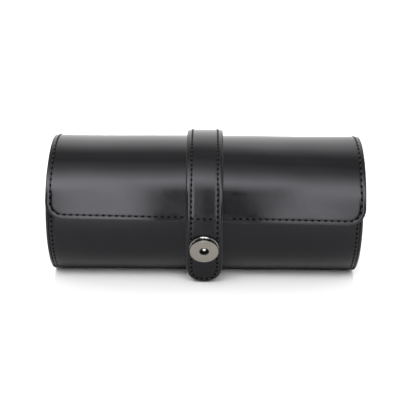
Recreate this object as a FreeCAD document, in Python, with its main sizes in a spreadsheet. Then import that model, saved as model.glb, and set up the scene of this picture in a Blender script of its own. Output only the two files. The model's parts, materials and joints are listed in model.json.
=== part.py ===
import FreeCAD, Part
import Sketcher
import math
import os
import re

# A leather travel roll for three watches: a stiff cylindrical case with a flat base, a flap hinged
# at the back, a strap over the flap with a magnetic button on its tail, and three loose pillows.
# Millimetres. X runs along the roll, Z is up and the front faces -Y. Angles round the roll are
# measured up from the front: 0 is the front, 90 the top, 180 the back.

doc = FreeCAD.newDocument("watch_roll")
sheet = doc.addObject("Spreadsheet::Sheet", "Sheet")

SIZES = [
    ("roll_length", 180, "case, over its end panels"),
    ("case_radius", 38.6, "outside of the case"),
    ("axis_height", 38, "axis of the roll above the base"),
    ("leather", 1.8, "shell leather"),
    ("stiffener", 1.2, "board under the shell leather"),
    ("suede", 0.8, "lining"),
    ("end_leather", 1.6, "end panel"),
    ("end_stiffener", 1.6, "end board"),
    ("welt_width", 7, "sewing strip under each end of the shell"),
    ("lip_angle", 25, "front lip of the case"),
    ("rear_angle", 140, "rear edge of the mouth"),
    ("sector_reach", 60, "reach of the cut that opens the mouth"),
    ("wall_angle", 168, "lower end of the flap root"),
    ("base_edge_angle", 70, "end seams stop this far below the front"),
    ("rear_seam_end", 250, "end seams stop here under the back"),
    ("seam_margin", 3.2, "end seam, from the end of the case"),
    ("seam_height", 0.2, "thread above the leather"),
    ("seam_width", 0.8, "thread"),
    ("end_seam_gap", 1, "end seams stop short of the lip and the flap root, degrees"),
    ("lip_seam_drop", 4.3, "lip seam below the lip, degrees"),
    ("lip_seam_length", 170, "lip seam"),
    ("thread_angle", 1.15, "thread laid along the roll, degrees"),
    ("flap_gap", 1.8, "flap over the case"),
    ("flap_suede", 0.6, "flap lining"),
    ("flap_leather_depth", 1, "flap leather"),
    ("flap_length", 180.6, "flap, along the roll"),
    ("flap_edge_angle", 1.8, "front edge of the flap"),
    ("hinge_angle", 145, "flap hinge"),
    ("hinge_gap_angle", 0.4, "each side of the flap hinge"),
    ("flap_corner", 9, "front corners of the flap"),
    ("flap_lining_inset", 1, "flap lining inside the edge of the leather"),
    ("flap_lining_edge", 1.5, "flap lining above the front edge, degrees"),
    ("flap_seam_stop", 1.2, "flap seams end short of the hinge, degrees"),
    ("flap_seam_margin", 2.8, "flap seam, from the edge"),
    ("strap_width", 21, "strap"),
    ("strap_backing", 1.7, "inner leather of the strap"),
    ("strap_face", 1.8, "outer leather of the strap"),
    ("strap_top_angle", 135, "rear end of the strap"),
    ("strap_gap_angle", 0.4, "strap ends short of the tail"),
    ("strap_seam_spacing", 15.6, "between the two strap seams"),
    ("strap_seam_start", 0.8, "strap seams start above the bend, degrees"),
    ("strap_seam_stop", 1.6, "strap seams end short of the strap, degrees"),
    ("strap_corner", 9.5, "rounded ends of the strap"),
    ("tail_gap", 0.3, "tail starts below its bend line"),
    ("tail_drop", 4.5, "straight part above the bend"),
    ("tail_bend", 14, "outer radius of the bend"),
    ("tail_turn", 25, "angle of the bend"),
    ("tail_lower", 31, "straight part below the bend"),
    ("tail_seam_start", 1, "tail seam below the bend line"),
    ("button_drop", 4.4, "button axis below the bend"),
    ("button_radius", 8.25, "button case"),
    ("button_foot", 6.9, "foot of the button case"),
    ("button_height", 3.6, "button case"),
    ("button_face", 3.2, "face of the button"),
    ("button_face_depth", 1, "metal of the face"),
    ("button_rim", 7.1, "inner edge of the rim"),
    ("button_hole", 2.5, "hole in the face"),
    ("button_skirt", 0.5, "foot below the overhang"),
    ("button_chamfer", 0.4, "edge of the rim"),
    ("button_socket", 6.25, "inside of the cup"),
    ("magnet_radius", 6.2, "ring magnet"),
    ("rivet_radius", 1.25, "rivets"),
    ("rivet_play", 0.05, "round each rivet"),
    ("rivet_head", 2.1, "rivet head"),
    ("rivet_head_height", 0.6, "rivet head"),
    ("rivet_tail", 0.3, "closed end of the rivet"),
    ("rivet_tail_radius", 2.3, "closed end of the rivet"),
    ("plate_radius", 6.5, "plates of the closure"),
    ("plate_depth", 0.45, "plate inside the tail"),
    ("base_angle", 16.2, "closure base below the front"),
    ("base_proud", 1.2, "closure base above the leather"),
    ("base_play", 0.05, "round the closure base"),
    ("base_washer_radius", 3.5, "washer behind the board"),
    ("base_washer_depth", 0.6, "washer behind the board"),
    ("base_washer_lift", 0.1, "washer clear of the lining"),
    ("divider_depth", 2.4, "divider"),
    ("divider_board_depth", 1.2, "board inside a divider"),
    ("divider_margin", 1.4, "cover beyond the board"),
    ("divider_top", 24, "top of a divider above the axis"),
    ("pillow_radius", 26, "watch pillow"),
    ("pillow_sink", 7.7, "pillow axis below the roll axis"),
    ("pillow_play", 0.4, "each side of a pillow"),
    ("pillow_sleeve", 1.5, "suede sleeve"),
    ("pillow_cap", 1.2, "end cap"),
    ("pillow_round", 1, "rim of an end cap"),
]
for row, (alias, number, note) in enumerate(SIZES, start=1):
    sheet.set("A%d" % row, alias)
    sheet.set("B%d" % row, str(number))
    sheet.set("C%d" % row, note)
    sheet.setAlias("B%d" % row, alias)

# Sizes that follow from the ones above.
DERIVED = [
    ("shell_inner", "case_radius - leather"),
    ("board_inner", "case_radius - leather - stiffener"),
    ("lining_inner", "case_radius - leather - stiffener - suede"),
    ("shell_length", "roll_length - 2 * end_leather"),
    ("lining_length", "roll_length - 2 * end_leather - 2 * end_stiffener"),
    ("slot_length", "(roll_length - 2 * (end_leather + end_stiffener + suede + divider_depth)) / 3"),
    ("flap_inner", "case_radius + flap_gap"),
    ("flap_middle", "case_radius + flap_gap + flap_suede"),
    ("flap_outer", "case_radius + flap_gap + flap_suede + flap_leather_depth"),
    ("strap_middle", "case_radius + flap_gap + flap_suede + flap_leather_depth + strap_backing"),
    ("strap_outer", "case_radius + flap_gap + flap_suede + flap_leather_depth + strap_backing + strap_face"),
    ("strap_depth", "strap_backing + strap_face"),
    ("pillow_length", "(roll_length - 2 * (end_leather + end_stiffener + suede + divider_depth)) / 3"
                      " - 2 * pillow_play"),
]
for row, (alias, formula) in enumerate(DERIVED, start=len(SIZES) + 1):
    sheet.set("A%d" % row, alias)
    sheet.set("B%d" % row, "=" + formula)
    sheet.setAlias("B%d" % row, alias)
doc.recompute()

ALIASES = set(item[0] for item in SIZES + DERIVED)


def bound(formula):
    """The formula with each size name pointed at the sheet."""
    def point(match):
        word = match.group()
        return "Sheet." + word if word in ALIASES else word
    return re.sub(r"[a-z_]+", point, formula)


def value(formula):
    """The formula's number now."""
    result = sheet.evalExpression(formula)
    return float(getattr(result, "Value", result))


def new_body(label):
    body = doc.addObject("PartDesign::Body", label)
    body.Label = label
    return body


def sketch_on(body, name, role, offsets):
    """A sketch on one of the body's own origin planes, moved by bound offsets."""
    sketch = body.newObject("Sketcher::SketchObject", body.Label + "_" + name)
    plane = [item for item in body.Origin.OriginFeatures if item.Role == role][0]
    sketch.AttachmentSupport = [(plane, "")]
    sketch.MapMode = "FlatFace"
    for prop, formula in offsets.items():
        sketch.setExpression("AttachmentOffset." + prop, bound(formula))
    return sketch


def section(body, name, start="0"):
    """A sketch across the roll, at a bound distance along it."""
    return sketch_on(body, name, "YZ_Plane", {"Base.z": start})


def rule(sketch, formula, kind, *where):
    """A driving constraint whose number is bound to the sheet; angles are in degrees."""
    number = value(formula)
    if kind == "Angle":
        index = sketch.addConstraint(Sketcher.Constraint(kind, *where, math.radians(number)))
        sketch.setExpression("Constraints[%d]" % index, "(%s) * 1 deg" % bound(formula))
    else:
        index = sketch.addConstraint(Sketcher.Constraint(kind, *where, number))
        sketch.setExpression("Constraints[%d]" % index, bound(formula))


def tie(sketch, kind, *where):
    sketch.addConstraint(Sketcher.Constraint(kind, *where))


def centre_on_axis(sketch, arc, height="axis_height"):
    tie(sketch, "PointOnObject", arc, 3, -2)
    rule(sketch, height, "DistanceY", -1, 1, arc, 3)


def polar(radius, degrees, height):
    angle = math.radians(degrees)
    return FreeCAD.Vector(radius * math.cos(angle), height + radius * math.sin(angle), 0)


def arc_between(radius, height, start, end):
    circle = Part.Circle(FreeCAD.Vector(0, height, 0), FreeCAD.Vector(0, 0, 1), radius)
    return Part.ArcOfCircle(circle, math.radians(start), math.radians(end))


def round_with_flats(sketch, radius, floor, ceiling=None):
    """A circle round the roll's axis with a flat bottom and, if given, a flat top."""
    size = value(radius)
    height = value("axis_height")
    dip = math.degrees(math.asin((height - value(floor)) / size))
    rise = 90.0
    if ceiling is not None:
        rise = math.degrees(math.asin((value(ceiling) - height) / size))
    right = sketch.addGeometry(arc_between(size, height, -dip, rise))
    left = sketch.addGeometry(arc_between(size, height, 180 - rise, 180 + dip))
    flat = sketch.addGeometry(Part.LineSegment(polar(size, 180 + dip, height), polar(size, -dip, height)))
    centre_on_axis(sketch, right)
    rule(sketch, radius, "Radius", right)
    tie(sketch, "Coincident", left, 3, right, 3)
    tie(sketch, "Coincident", left, 2, flat, 1)
    tie(sketch, "Coincident", flat, 2, right, 1)
    tie(sketch, "Horizontal", flat)
    if value(floor) == 0:
        tie(sketch, "PointOnObject", flat, 1, -1)
    else:
        rule(sketch, floor, "DistanceY", -1, 1, flat, 1)
    if ceiling is None:
        tie(sketch, "Coincident", right, 2, left, 1)
        tie(sketch, "PointOnObject", right, 2, -2)
        return
    top = sketch.addGeometry(Part.LineSegment(polar(size, rise, height), polar(size, 180 - rise, height)))
    tie(sketch, "Coincident", right, 2, top, 1)
    tie(sketch, "Coincident", top, 2, left, 1)
    tie(sketch, "Horizontal", top)
    rule(sketch, ceiling, "DistanceY", -1, 1, top, 1)


def turned(formula):
    """The sketch's own angle for an angle measured up from the front, kept within a half turn."""
    plain = "180 - (%s)" % formula
    if value(plain) > 180:
        return plain + " - 360"
    if value(plain) <= -180:
        return plain + " + 360"
    return plain


def sector(sketch, first, last):
    """A wedge from the roll's axis out past the case, between two angles up from the front."""
    height = value("axis_height")
    reach = value("sector_reach")
    start = 180 - value(last)
    end = 180 - value(first)
    centre = FreeCAD.Vector(0, height, 0)
    arc = sketch.addGeometry(arc_between(reach, height, start, end))
    near = sketch.addGeometry(Part.LineSegment(centre, polar(reach, start, height)))
    far = sketch.addGeometry(Part.LineSegment(centre, polar(reach, end, height)))
    centre_on_axis(sketch, arc)
    rule(sketch, "sector_reach", "Radius", arc)
    tie(sketch, "Coincident", near, 1, arc, 3)
    tie(sketch, "Coincident", far, 1, arc, 3)
    tie(sketch, "Coincident", near, 2, arc, 1)
    tie(sketch, "Coincident", far, 2, arc, 2)
    rule(sketch, turned(last), "Angle", near)
    rule(sketch, turned(first), "Angle", far)


def curved_band(sketch, inner, outer, first, last):
    """A band round the roll's axis between two radii and two angles up from the front."""
    height = value("axis_height")
    start = 180 - value(last)
    end = 180 - value(first)
    low = value(inner)
    high = value(outer)
    inside = sketch.addGeometry(arc_between(low, height, start, end))
    outside = sketch.addGeometry(arc_between(high, height, start, end))
    near = sketch.addGeometry(Part.LineSegment(polar(low, start, height), polar(high, start, height)))
    far = sketch.addGeometry(Part.LineSegment(polar(low, end, height), polar(high, end, height)))
    centre_on_axis(sketch, inside)
    tie(sketch, "Coincident", outside, 3, inside, 3)
    rule(sketch, inner, "Radius", inside)
    rule(sketch, outer, "Radius", outside)
    tie(sketch, "Coincident", near, 1, inside, 1)
    tie(sketch, "Coincident", near, 2, outside, 1)
    tie(sketch, "Coincident", far, 1, inside, 2)
    tie(sketch, "Coincident", far, 2, outside, 2)
    rule(sketch, turned(last), "Angle", near)
    rule(sketch, turned(first), "Angle", far)
    tie(sketch, "PointOnObject", inside, 3, near)
    tie(sketch, "PointOnObject", inside, 3, far)


def pad(body, sketch, length):
    """The sketch drawn out along the roll."""
    doc.recompute()
    feature = body.newObject("PartDesign::Pad", sketch.Label + "_pad")
    feature.Profile = sketch
    feature.setExpression("Length", bound(length))
    sketch.Visibility = False
    doc.recompute()
    return feature


def pocket(body, sketch, length=None, outward=False):
    """The sketch cut away: both ways through everything, or a bound length one way."""
    doc.recompute()
    before = body.Shape.Volume
    feature = body.newObject("PartDesign::Pocket", sketch.Label + "_cut")
    feature.Profile = sketch
    if length is None:
        feature.Type = "ThroughAll"
        feature.SideType = "Symmetric"
    else:
        feature.Reversed = outward
        feature.setExpression("Length", bound(length))
    sketch.Visibility = False
    doc.recompute()
    if not body.Shape.Volume < before - 1e-6:
        raise RuntimeError("nothing was cut by " + feature.Label)
    return feature


def round_edges(body, radius, wanted):
    """Edges of the body chosen by their own geometry, rounded."""
    tip = body.Tip
    names = []
    for index, edge in enumerate(tip.Shape.Edges, start=1):
        if wanted(edge):
            names.append("Edge%d" % index)
    if not names:
        raise RuntimeError("no edge to round on " + body.Label)
    feature = body.newObject("PartDesign::Fillet", body.Label + "_round")
    feature.Base = (tip, names)
    feature.setExpression("Radius", bound(radius))
    doc.recompute()
    return feature


def turn_sketch(sketch, axis, angle):
    """Turns a sketch about an axis of its plane by a bound angle."""
    offset = sketch.AttachmentOffset
    offset.Rotation = FreeCAD.Rotation(axis, value(angle))
    sketch.AttachmentOffset = offset
    sketch.setExpression("AttachmentOffset.Rotation.Angle", bound(angle))


def tilted_circle(body, name, radius, tilt, height, across="0"):
    """A circle that faces forward and is tilted down by an angle."""
    sketch = sketch_on(body, name, "XZ_Plane", {"Base.y": height, "Base.z": "-(%s)" % across})
    turn_sketch(sketch, FreeCAD.Vector(1, 0, 0), tilt)
    circle = Part.Circle(FreeCAD.Vector(0, 0, 0), FreeCAD.Vector(0, 0, 1), value(radius))
    ring = sketch.addGeometry(circle)
    tie(sketch, "Coincident", ring, 3, -1, 1)
    rule(sketch, radius, "Radius", ring)
    return sketch


def front_hole(body, name, radius):
    """A round cut from the roll's axis out through the front, along the closure base's axis."""
    pocket(body, tilted_circle(body, name, radius, "base_angle", "axis_height"), "sector_reach", outward=True)


parts = []


def finish(body):
    parts.append(body)
    return body


# Case: shell leather, board and lining, bent round a flat base and open at the top.
def case_layer(label, outer, inner, floor, ceiling, start, length):
    body = new_body(label)
    outline = section(body, "outline", start)
    round_with_flats(outline, outer, floor)
    pad(body, outline, length)
    hollow = section(body, "hollow")
    round_with_flats(hollow, inner, ceiling)
    pocket(body, hollow)
    mouth = section(body, "mouth")
    sector(mouth, "lip_angle", "rear_angle")
    pocket(body, mouth)
    return finish(body)


shell = case_layer("body_shell", "case_radius", "shell_inner", "0", "leather",
                   "-shell_length / 2", "shell_length")
front_hole(shell, "base_hole", "plate_radius + base_play")

board = case_layer("body_board", "shell_inner", "board_inner", "leather", "leather + stiffener",
                   "-shell_length / 2 + welt_width", "shell_length - 2 * welt_width")
front_hole(board, "washer_hole", "base_washer_radius + base_play")

case_layer("body_lining", "board_inner", "lining_inner", "leather + stiffener",
           "leather + stiffener + suede", "-lining_length / 2", "lining_length")

# Ends: each is a leather disc, a board, a suede face and a welt that the shell is sewn to.
for side, label in ((-1, "left"), (1, "right")):
    layers = [
        ("end_panel", "case_radius", "0", "end_leather", "roll_length / 2"),
        ("end_board", "board_inner", "leather + stiffener", "end_stiffener", "shell_length / 2"),
        ("end_lining", "lining_inner", "leather + stiffener + suede", "suede", "lining_length / 2"),
    ]
    for name, radius, floor, depth, outer_face in layers:
        body = new_body(label + "_" + name)
        start = "-(%s)" % outer_face if side < 0 else "%s - (%s)" % (outer_face, depth)
        outline = section(body, "outline", start)
        round_with_flats(outline, radius, floor)
        pad(body, outline, depth)
        finish(body)
    start = "-shell_length / 2" if side < 0 else "shell_length / 2 - welt_width"
    case_layer(label + "_end_welt", "shell_inner", "board_inner", "leather", "leather + stiffener",
               start, "welt_width")

# Dividers: a board sewn into a suede cover, one each side of the middle slot.
for side, label in ((-1, "left"), (1, "right")):
    middle = "%d * (slot_length + divider_depth) / 2" % side
    cover = new_body(label + "_divider_cover")
    outline = section(cover, "outline", middle + " - divider_depth / 2")
    round_with_flats(outline, "lining_inner", "leather + stiffener + suede", "axis_height + divider_top")
    pad(cover, outline, "divider_depth")
    core = new_body(label + "_divider_board")
    for body in (cover, core):
        shape = section(body, "core", middle + " - divider_board_depth / 2")
        round_with_flats(shape, "lining_inner - divider_margin",
                         "leather + stiffener + suede + divider_margin",
                         "axis_height + divider_top - divider_margin")
        if body is cover:
            pocket(body, shape, "divider_board_depth", outward=True)
        else:
            pad(body, shape, "divider_board_depth")
    finish(cover)
    finish(core)


def thread_band(label, inner, first, last, start, length):
    body = new_body(label)
    path = section(body, "path", start)
    curved_band(path, inner, inner + " + seam_height", first, last)
    pad(body, path, length)
    return finish(body)


# Thread along both ends of the shell, along the lip and along the flap root.
for side, label in ((-1, "left"), (1, "right")):
    start = "%d * (roll_length / 2 - seam_margin) - seam_width / 2" % side
    thread_band(label + "_front_seam", "case_radius", "-base_edge_angle", "lip_angle - end_seam_gap",
                start, "seam_width")
    thread_band(label + "_rear_seam", "case_radius", "wall_angle + end_seam_gap", "rear_seam_end",
                start, "seam_width")
thread_band("lip_seam", "case_radius", "lip_angle - lip_seam_drop - thread_angle",
            "lip_angle - lip_seam_drop", "-lip_seam_length / 2", "lip_seam_length")

# Flap root: the lower end of the flap, doubled and fixed to the back of the shell.
root = new_body("flap_root")
path = section(root, "path", "-flap_length / 2")
curved_band(path, "case_radius", "flap_outer", "hinge_angle + hinge_gap_angle", "wall_angle")
pad(root, path, "flap_length")
finish(root)
thread_band("root_seam", "flap_outer", "wall_angle - lip_seam_drop",
            "wall_angle - lip_seam_drop + thread_angle", "-flap_length / 2 + flap_seam_margin",
            "flap_length - 2 * flap_seam_margin")


# Closure base: a plate sunk in the shell, held by a rivet and a washer in the board.
def turned_part(label, outline, height, tilt, across="0"):
    """A profile of (radius, height) pairs spun round an axis that leans forward and down."""
    body = new_body(label)
    sketch = sketch_on(body, "profile", "XZ_Plane", {})
    count = len(outline)
    points = [FreeCAD.Vector(value(radius), value(level), 0) for radius, level in outline]
    for index in range(count):
        sketch.addGeometry(Part.LineSegment(points[index], points[(index + 1) % count]))
    for index in range(count):
        tie(sketch, "Coincident", index, 2, (index + 1) % count, 1)
    for index, (radius, level) in enumerate(outline):
        if value(radius) == 0:
            tie(sketch, "PointOnObject", index, 1, -2)
        else:
            rule(sketch, radius, "DistanceX", -1, 1, index, 1)
        if value(level) == 0:
            tie(sketch, "PointOnObject", index, 1, -1)
        else:
            rule(sketch, level, "DistanceY", -1, 1, index, 1)
    doc.recompute()
    spun = body.newObject("PartDesign::Revolution", label + "_spun")
    spun.Profile = sketch
    spun.ReferenceAxis = (sketch, ["V_Axis"])
    spun.Angle = 360
    sketch.Visibility = False
    doc.recompute()
    lean = FreeCAD.Rotation(FreeCAD.Vector(1, 0, 0), 90 + value(tilt))
    body.Placement = FreeCAD.Placement(FreeCAD.Vector(0, 0, 0), lean)
    body.setExpression("Placement.Rotation.Angle", "90 + " + bound(tilt))
    body.setExpression("Placement.Base.y", bound(across))
    body.setExpression("Placement.Base.z", bound(height))
    doc.recompute()
    return finish(body)


turned_part("base_plate", [("0", "shell_inner"), ("plate_radius", "shell_inner"),
                           ("plate_radius", "case_radius + base_proud"), ("0", "case_radius + base_proud")],
            "axis_height", "base_angle")
turned_part("base_rivet", [("0", "board_inner + base_washer_lift"),
                           ("rivet_radius", "board_inner + base_washer_lift"),
                           ("rivet_radius", "shell_inner"), ("0", "shell_inner")],
            "axis_height", "base_angle")
turned_part("base_washer", [("rivet_radius + rivet_play", "board_inner + base_washer_lift"),
                            ("base_washer_radius", "board_inner + base_washer_lift"),
                            ("base_washer_radius", "board_inner + base_washer_lift + base_washer_depth"),
                            ("rivet_radius + rivet_play",
                             "board_inner + base_washer_lift + base_washer_depth")],
            "axis_height", "base_angle")


# Flap and strap: bands round the roll with rounded front or rear corners.
def across_band(edge):
    """True for an edge that runs through the depth of a band."""
    if not isinstance(edge.Curve, Part.Line):
        return False
    return abs(edge.tangentAt(edge.FirstParameter).x) < 1e-6


def strap_band(label, inner, outer):
    """A layer of the strap over the flap, with a rounded rear end."""
    body = new_body(label)
    path = section(body, "path", "-strap_width / 2")
    curved_band(path, inner, outer, "flap_edge_angle + strap_gap_angle", "strap_top_angle")
    pad(body, path, "strap_width")
    round_edges(body, "strap_corner", lambda edge: across_band(edge) and edge.CenterOfMass.y > 0)
    return finish(body)


def corner_cut(body, side, across, level, radius):
    """Rounds one front corner: what lies outside a quarter circle is cut away."""
    sketch = sketch_on(body, "corner_%s" % ("left" if side < 0 else "right"), "XZ_Plane", {})
    reach = value(across)
    low = value(level)
    size = value(radius)
    spare = size
    centre = FreeCAD.Vector(side * (reach - size), low + size, 0)
    start, end = (math.pi, 1.5 * math.pi) if side < 0 else (-math.pi / 2, 0)
    arc = sketch.addGeometry(Part.ArcOfCircle(Part.Circle(centre, FreeCAD.Vector(0, 0, 1), size), start, end))
    beside = FreeCAD.Vector(side * reach, low + size, 0)
    under = FreeCAD.Vector(side * (reach - size), low, 0)
    corners = [beside,
               FreeCAD.Vector(side * (reach + spare), low + size, 0),
               FreeCAD.Vector(side * (reach + spare), low - spare, 0),
               FreeCAD.Vector(side * (reach - size), low - spare, 0),
               under]
    lines = []
    for first, second in zip(corners, corners[1:]):
        lines.append(sketch.addGeometry(Part.LineSegment(first, second)))
    for first, second in zip(lines, lines[1:]):
        tie(sketch, "Coincident", first, 2, second, 1)
    beside_end, under_end = (1, 2) if side < 0 else (2, 1)
    tie(sketch, "Coincident", arc, beside_end, lines[0], 1)
    tie(sketch, "Coincident", arc, under_end, lines[-1], 2)
    for line, kind in zip(lines, ("Horizontal", "Vertical", "Horizontal", "Vertical")):
        tie(sketch, kind, line)
    tie(sketch, "Vertical", arc, 3, arc, under_end)
    rule(sketch, radius, "Radius", arc)
    rule(sketch, level, "DistanceY", -1, 1, arc, under_end)
    rule(sketch, "%d * (%s)" % (side, across), "DistanceX", -1, 1, arc, beside_end)
    rule(sketch, "%d * (%s)" % (side, radius), "DistanceX", lines[0], 1, lines[0], 2)
    rule(sketch, radius, "DistanceY", lines[3], 1, lines[3], 2)
    tie(sketch, "Horizontal", arc, 3, arc, beside_end)
    pocket(body, sketch, "sector_reach", outward=True)


def flap_layer(label, inner, outer, first, length, corner):
    """A layer of the flap with rounded front corners."""
    body = new_body(label)
    path = section(body, "path", "-(%s) / 2" % length)
    curved_band(path, inner, outer, first, "hinge_angle - hinge_gap_angle")
    pad(body, path, length)
    for side in (-1, 1):
        corner_cut(body, side, "(%s) / 2" % length, "axis_height + (%s) * sin(%s)" % (outer, first), corner)
    return finish(body)


flap_layer("flap_leather", "flap_middle", "flap_outer", "flap_edge_angle", "flap_length", "flap_corner")
flap_layer("flap_lining", "flap_inner", "flap_middle", "flap_edge_angle + flap_lining_edge",
           "flap_length - 2 * flap_lining_inset", "flap_corner - flap_lining_inset")
strap_band("strap_backing", "flap_outer", "strap_middle")
strap_band("strap_face", "strap_middle", "strap_outer")

# Flap thread: one L-shaped run each side of the strap, down the side and along the front edge.
margin_angle = "flap_seam_margin / flap_outer * 180 / pi"
for side, label in ((-1, "left"), (1, "right")):
    run = "flap_length / 2 - flap_seam_margin - strap_width / 2"
    body = new_body(label + "_flap_seam")
    start = "-(flap_length / 2 - flap_seam_margin)" if side < 0 else "strap_width / 2"
    path = section(body, "path", start)
    curved_band(path, "flap_outer", "flap_outer + seam_height", "flap_edge_angle + " + margin_angle,
                "hinge_angle - flap_seam_stop")
    pad(body, path, run)
    inside = section(body, "inside", start + " + seam_width" if side < 0 else start)
    sector(inside, "flap_edge_angle + thread_angle + " + margin_angle, "hinge_angle")
    pocket(body, inside, run + " - seam_width", outward=True)
    finish(body)
for side, label in ((-1, "left"), (1, "right")):
    thread_band(label + "_strap_seam", "strap_outer", "flap_edge_angle + strap_seam_start",
                "strap_top_angle - strap_seam_stop",
                "%d * strap_seam_spacing / 2 - seam_width / 2" % side, "seam_width")


# Strap tail: drawn from its bend line, which lies on the outside of the strap at the flap's edge.
def tail_sketch(body, name, shallow, deep, top, lower, start):
    """The tail's side view between two depths under its outer surface."""
    sketch = sketch_on(body, name, "YZ_Plane", {
        "Base.z": start,
        "Base.x": "-strap_outer * cos(flap_edge_angle)",
        "Base.y": "axis_height + strap_outer * sin(flap_edge_angle)",
    })
    turn_sketch(sketch, FreeCAD.Vector(0, 0, -1), "flap_edge_angle")
    drop = value("tail_drop")
    bend = value("tail_bend")
    turn = math.radians(value("tail_turn"))
    low = FreeCAD.Vector(math.sin(turn), -math.cos(turn), 0)
    centre = FreeCAD.Vector(bend, -drop, 0)
    runs = []
    for depth in (shallow, deep):
        size = bend - value(depth)
        circle = Part.Circle(centre, FreeCAD.Vector(0, 0, 1), size)
        upper = FreeCAD.Vector(value(depth), -value(top), 0)
        corner = FreeCAD.Vector(value(depth), -drop, 0)
        lower_end = centre + FreeCAD.Vector(-size * math.cos(turn), -size * math.sin(turn), 0)
        tip = lower_end + low * value(lower)
        line = sketch.addGeometry(Part.LineSegment(upper, corner))
        arc = sketch.addGeometry(Part.ArcOfCircle(circle, math.pi, math.pi + turn))
        slope = sketch.addGeometry(Part.LineSegment(tip, lower_end))
        tie(sketch, "Tangent", line, 2, arc, 1)
        tie(sketch, "Tangent", arc, 2, slope, 2)
        tie(sketch, "Vertical", line)
        rule(sketch, "tail_bend - (%s)" % depth, "Radius", arc)
        rule(sketch, "90 + tail_turn", "Angle", slope)
        runs.append((line, arc, slope, upper, tip))
    outer, inner = runs
    rule(sketch, "tail_bend", "DistanceX", -1, 1, outer[1], 3)
    rule(sketch, "tail_drop", "DistanceY", outer[1], 3, -1, 1)
    tie(sketch, "Coincident", inner[1], 3, outer[1], 3)
    head = sketch.addGeometry(Part.LineSegment(outer[3], inner[3]))
    foot = sketch.addGeometry(Part.LineSegment(outer[4], inner[4]))
    tie(sketch, "Coincident", head, 1, outer[0], 1)
    tie(sketch, "Coincident", head, 2, inner[0], 1)
    tie(sketch, "Coincident", foot, 1, outer[2], 1)
    tie(sketch, "Coincident", foot, 2, inner[2], 1)
    tie(sketch, "Horizontal", head)
    rule(sketch, top, "DistanceY", head, 1, -1, 1)
    tie(sketch, "Perpendicular", foot, outer[2])
    rule(sketch, lower, "Distance", outer[2])
    return sketch


def tip_edge(edge):
    if not isinstance(edge.Curve, Part.Line):
        return False
    centre = edge.CenterOfMass
    return abs(edge.tangentAt(edge.FirstParameter).x) < 1e-6 and centre.z < value("axis_height") / 4 and \
        edge.Length < value("strap_depth")


lean = "tail_turn - flap_edge_angle"
button_y = ("-strap_outer * cos(flap_edge_angle) + tail_bend * cos(flap_edge_angle)"
            " - tail_drop * sin(flap_edge_angle) - tail_bend * cos(%s)"
            " + button_drop * sin(%s)" % (lean, lean))
button_z = ("axis_height + strap_outer * sin(flap_edge_angle) - tail_bend * sin(flap_edge_angle)"
            " - tail_drop * cos(flap_edge_angle) - tail_bend * sin(%s)"
            " - button_drop * cos(%s)" % (lean, lean))

for label, shallow, deep in (("tail_face", "0", "strap_face"), ("tail_backing", "strap_face", "strap_depth")):
    body = new_body(label)
    side_view = tail_sketch(body, "side", shallow, deep, "tail_gap", "tail_lower", "-strap_width / 2")
    pad(body, side_view, "strap_width")
    round_edges(body, "strap_corner", tip_edge)
    pocket(body, tilted_circle(body, "hole", "rivet_radius + rivet_play", lean, button_z, button_y))
    if label == "tail_backing":
        seat = tilted_circle(body, "plate_seat", "plate_radius + base_play", lean,
                             "%s + strap_depth * sin(%s)" % (button_z, lean),
                             "%s + strap_depth * cos(%s)" % (button_y, lean))
        pocket(body, seat, "plate_depth")
    finish(body)

# Tail thread: a U down one edge, round the tip and up the other.
tail_seam = new_body("tail_seam")
margin = "(strap_width - strap_seam_spacing) / 2"
side_view = tail_sketch(tail_seam, "side", "-seam_height", "0", "tail_seam_start",
                        "tail_lower - %s" % margin, "-(strap_seam_spacing + seam_width) / 2")
pad(tail_seam, side_view, "strap_seam_spacing + seam_width")
gap = tail_sketch(tail_seam, "gap", "-2 * seam_height", "seam_height", "0",
                  "tail_lower - %s - seam_width" % margin, "-(strap_seam_spacing - seam_width) / 2")
pocket(tail_seam, gap, "strap_seam_spacing - seam_width", outward=True)
middle_of_thread = value("strap_seam_spacing / 2")
round_edges(tail_seam, "strap_corner - %s - seam_width" % margin,
            lambda edge: tip_edge(edge) and abs(edge.CenterOfMass.x) < middle_of_thread)
round_edges(tail_seam, "strap_corner - %s" % margin,
            lambda edge: tip_edge(edge) and abs(edge.CenterOfMass.x) > middle_of_thread)
finish(tail_seam)

# Magnetic button: cup, ring magnet, rivet through the tail, and a plate inside the tail.
turned_part("button_case", [
    ("button_foot", "0"),
    ("button_foot", "button_skirt"),
    ("button_radius", "button_skirt + button_chamfer"),
    ("button_radius", "button_height - button_chamfer"),
    ("button_radius - button_chamfer", "button_height"),
    ("button_rim", "button_height"),
    ("button_rim", "button_face"),
    ("button_hole", "button_face"),
    ("button_hole", "button_face - button_face_depth"),
    ("button_socket", "button_face - button_face_depth"),
    ("button_socket", "0"),
], button_z, lean, button_y)
turned_part("button_magnet", [
    ("rivet_radius + rivet_play", "0"),
    ("magnet_radius", "0"),
    ("magnet_radius", "button_face - button_face_depth"),
    ("rivet_radius + rivet_play", "button_face - button_face_depth"),
], button_z, lean, button_y)
turned_part("button_rivet", [
    ("0", "-strap_depth - plate_depth - rivet_tail"),
    ("rivet_tail_radius", "-strap_depth - plate_depth - rivet_tail"),
    ("rivet_tail_radius", "-strap_depth - plate_depth"),
    ("rivet_radius", "-strap_depth - plate_depth"),
    ("rivet_radius", "button_face - button_face_depth"),
    ("rivet_head", "button_face - button_face_depth"),
    ("rivet_radius", "button_face - button_face_depth + rivet_head_height"),
    ("0", "button_face - button_face_depth + rivet_head_height"),
], button_z, lean, button_y)
turned_part("button_plate", [
    ("rivet_radius + rivet_play", "-strap_depth - plate_depth"),
    ("plate_radius", "-strap_depth - plate_depth"),
    ("plate_radius", "-strap_depth"),
    ("rivet_radius + rivet_play", "-strap_depth"),
], button_z, lean, button_y)

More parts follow.
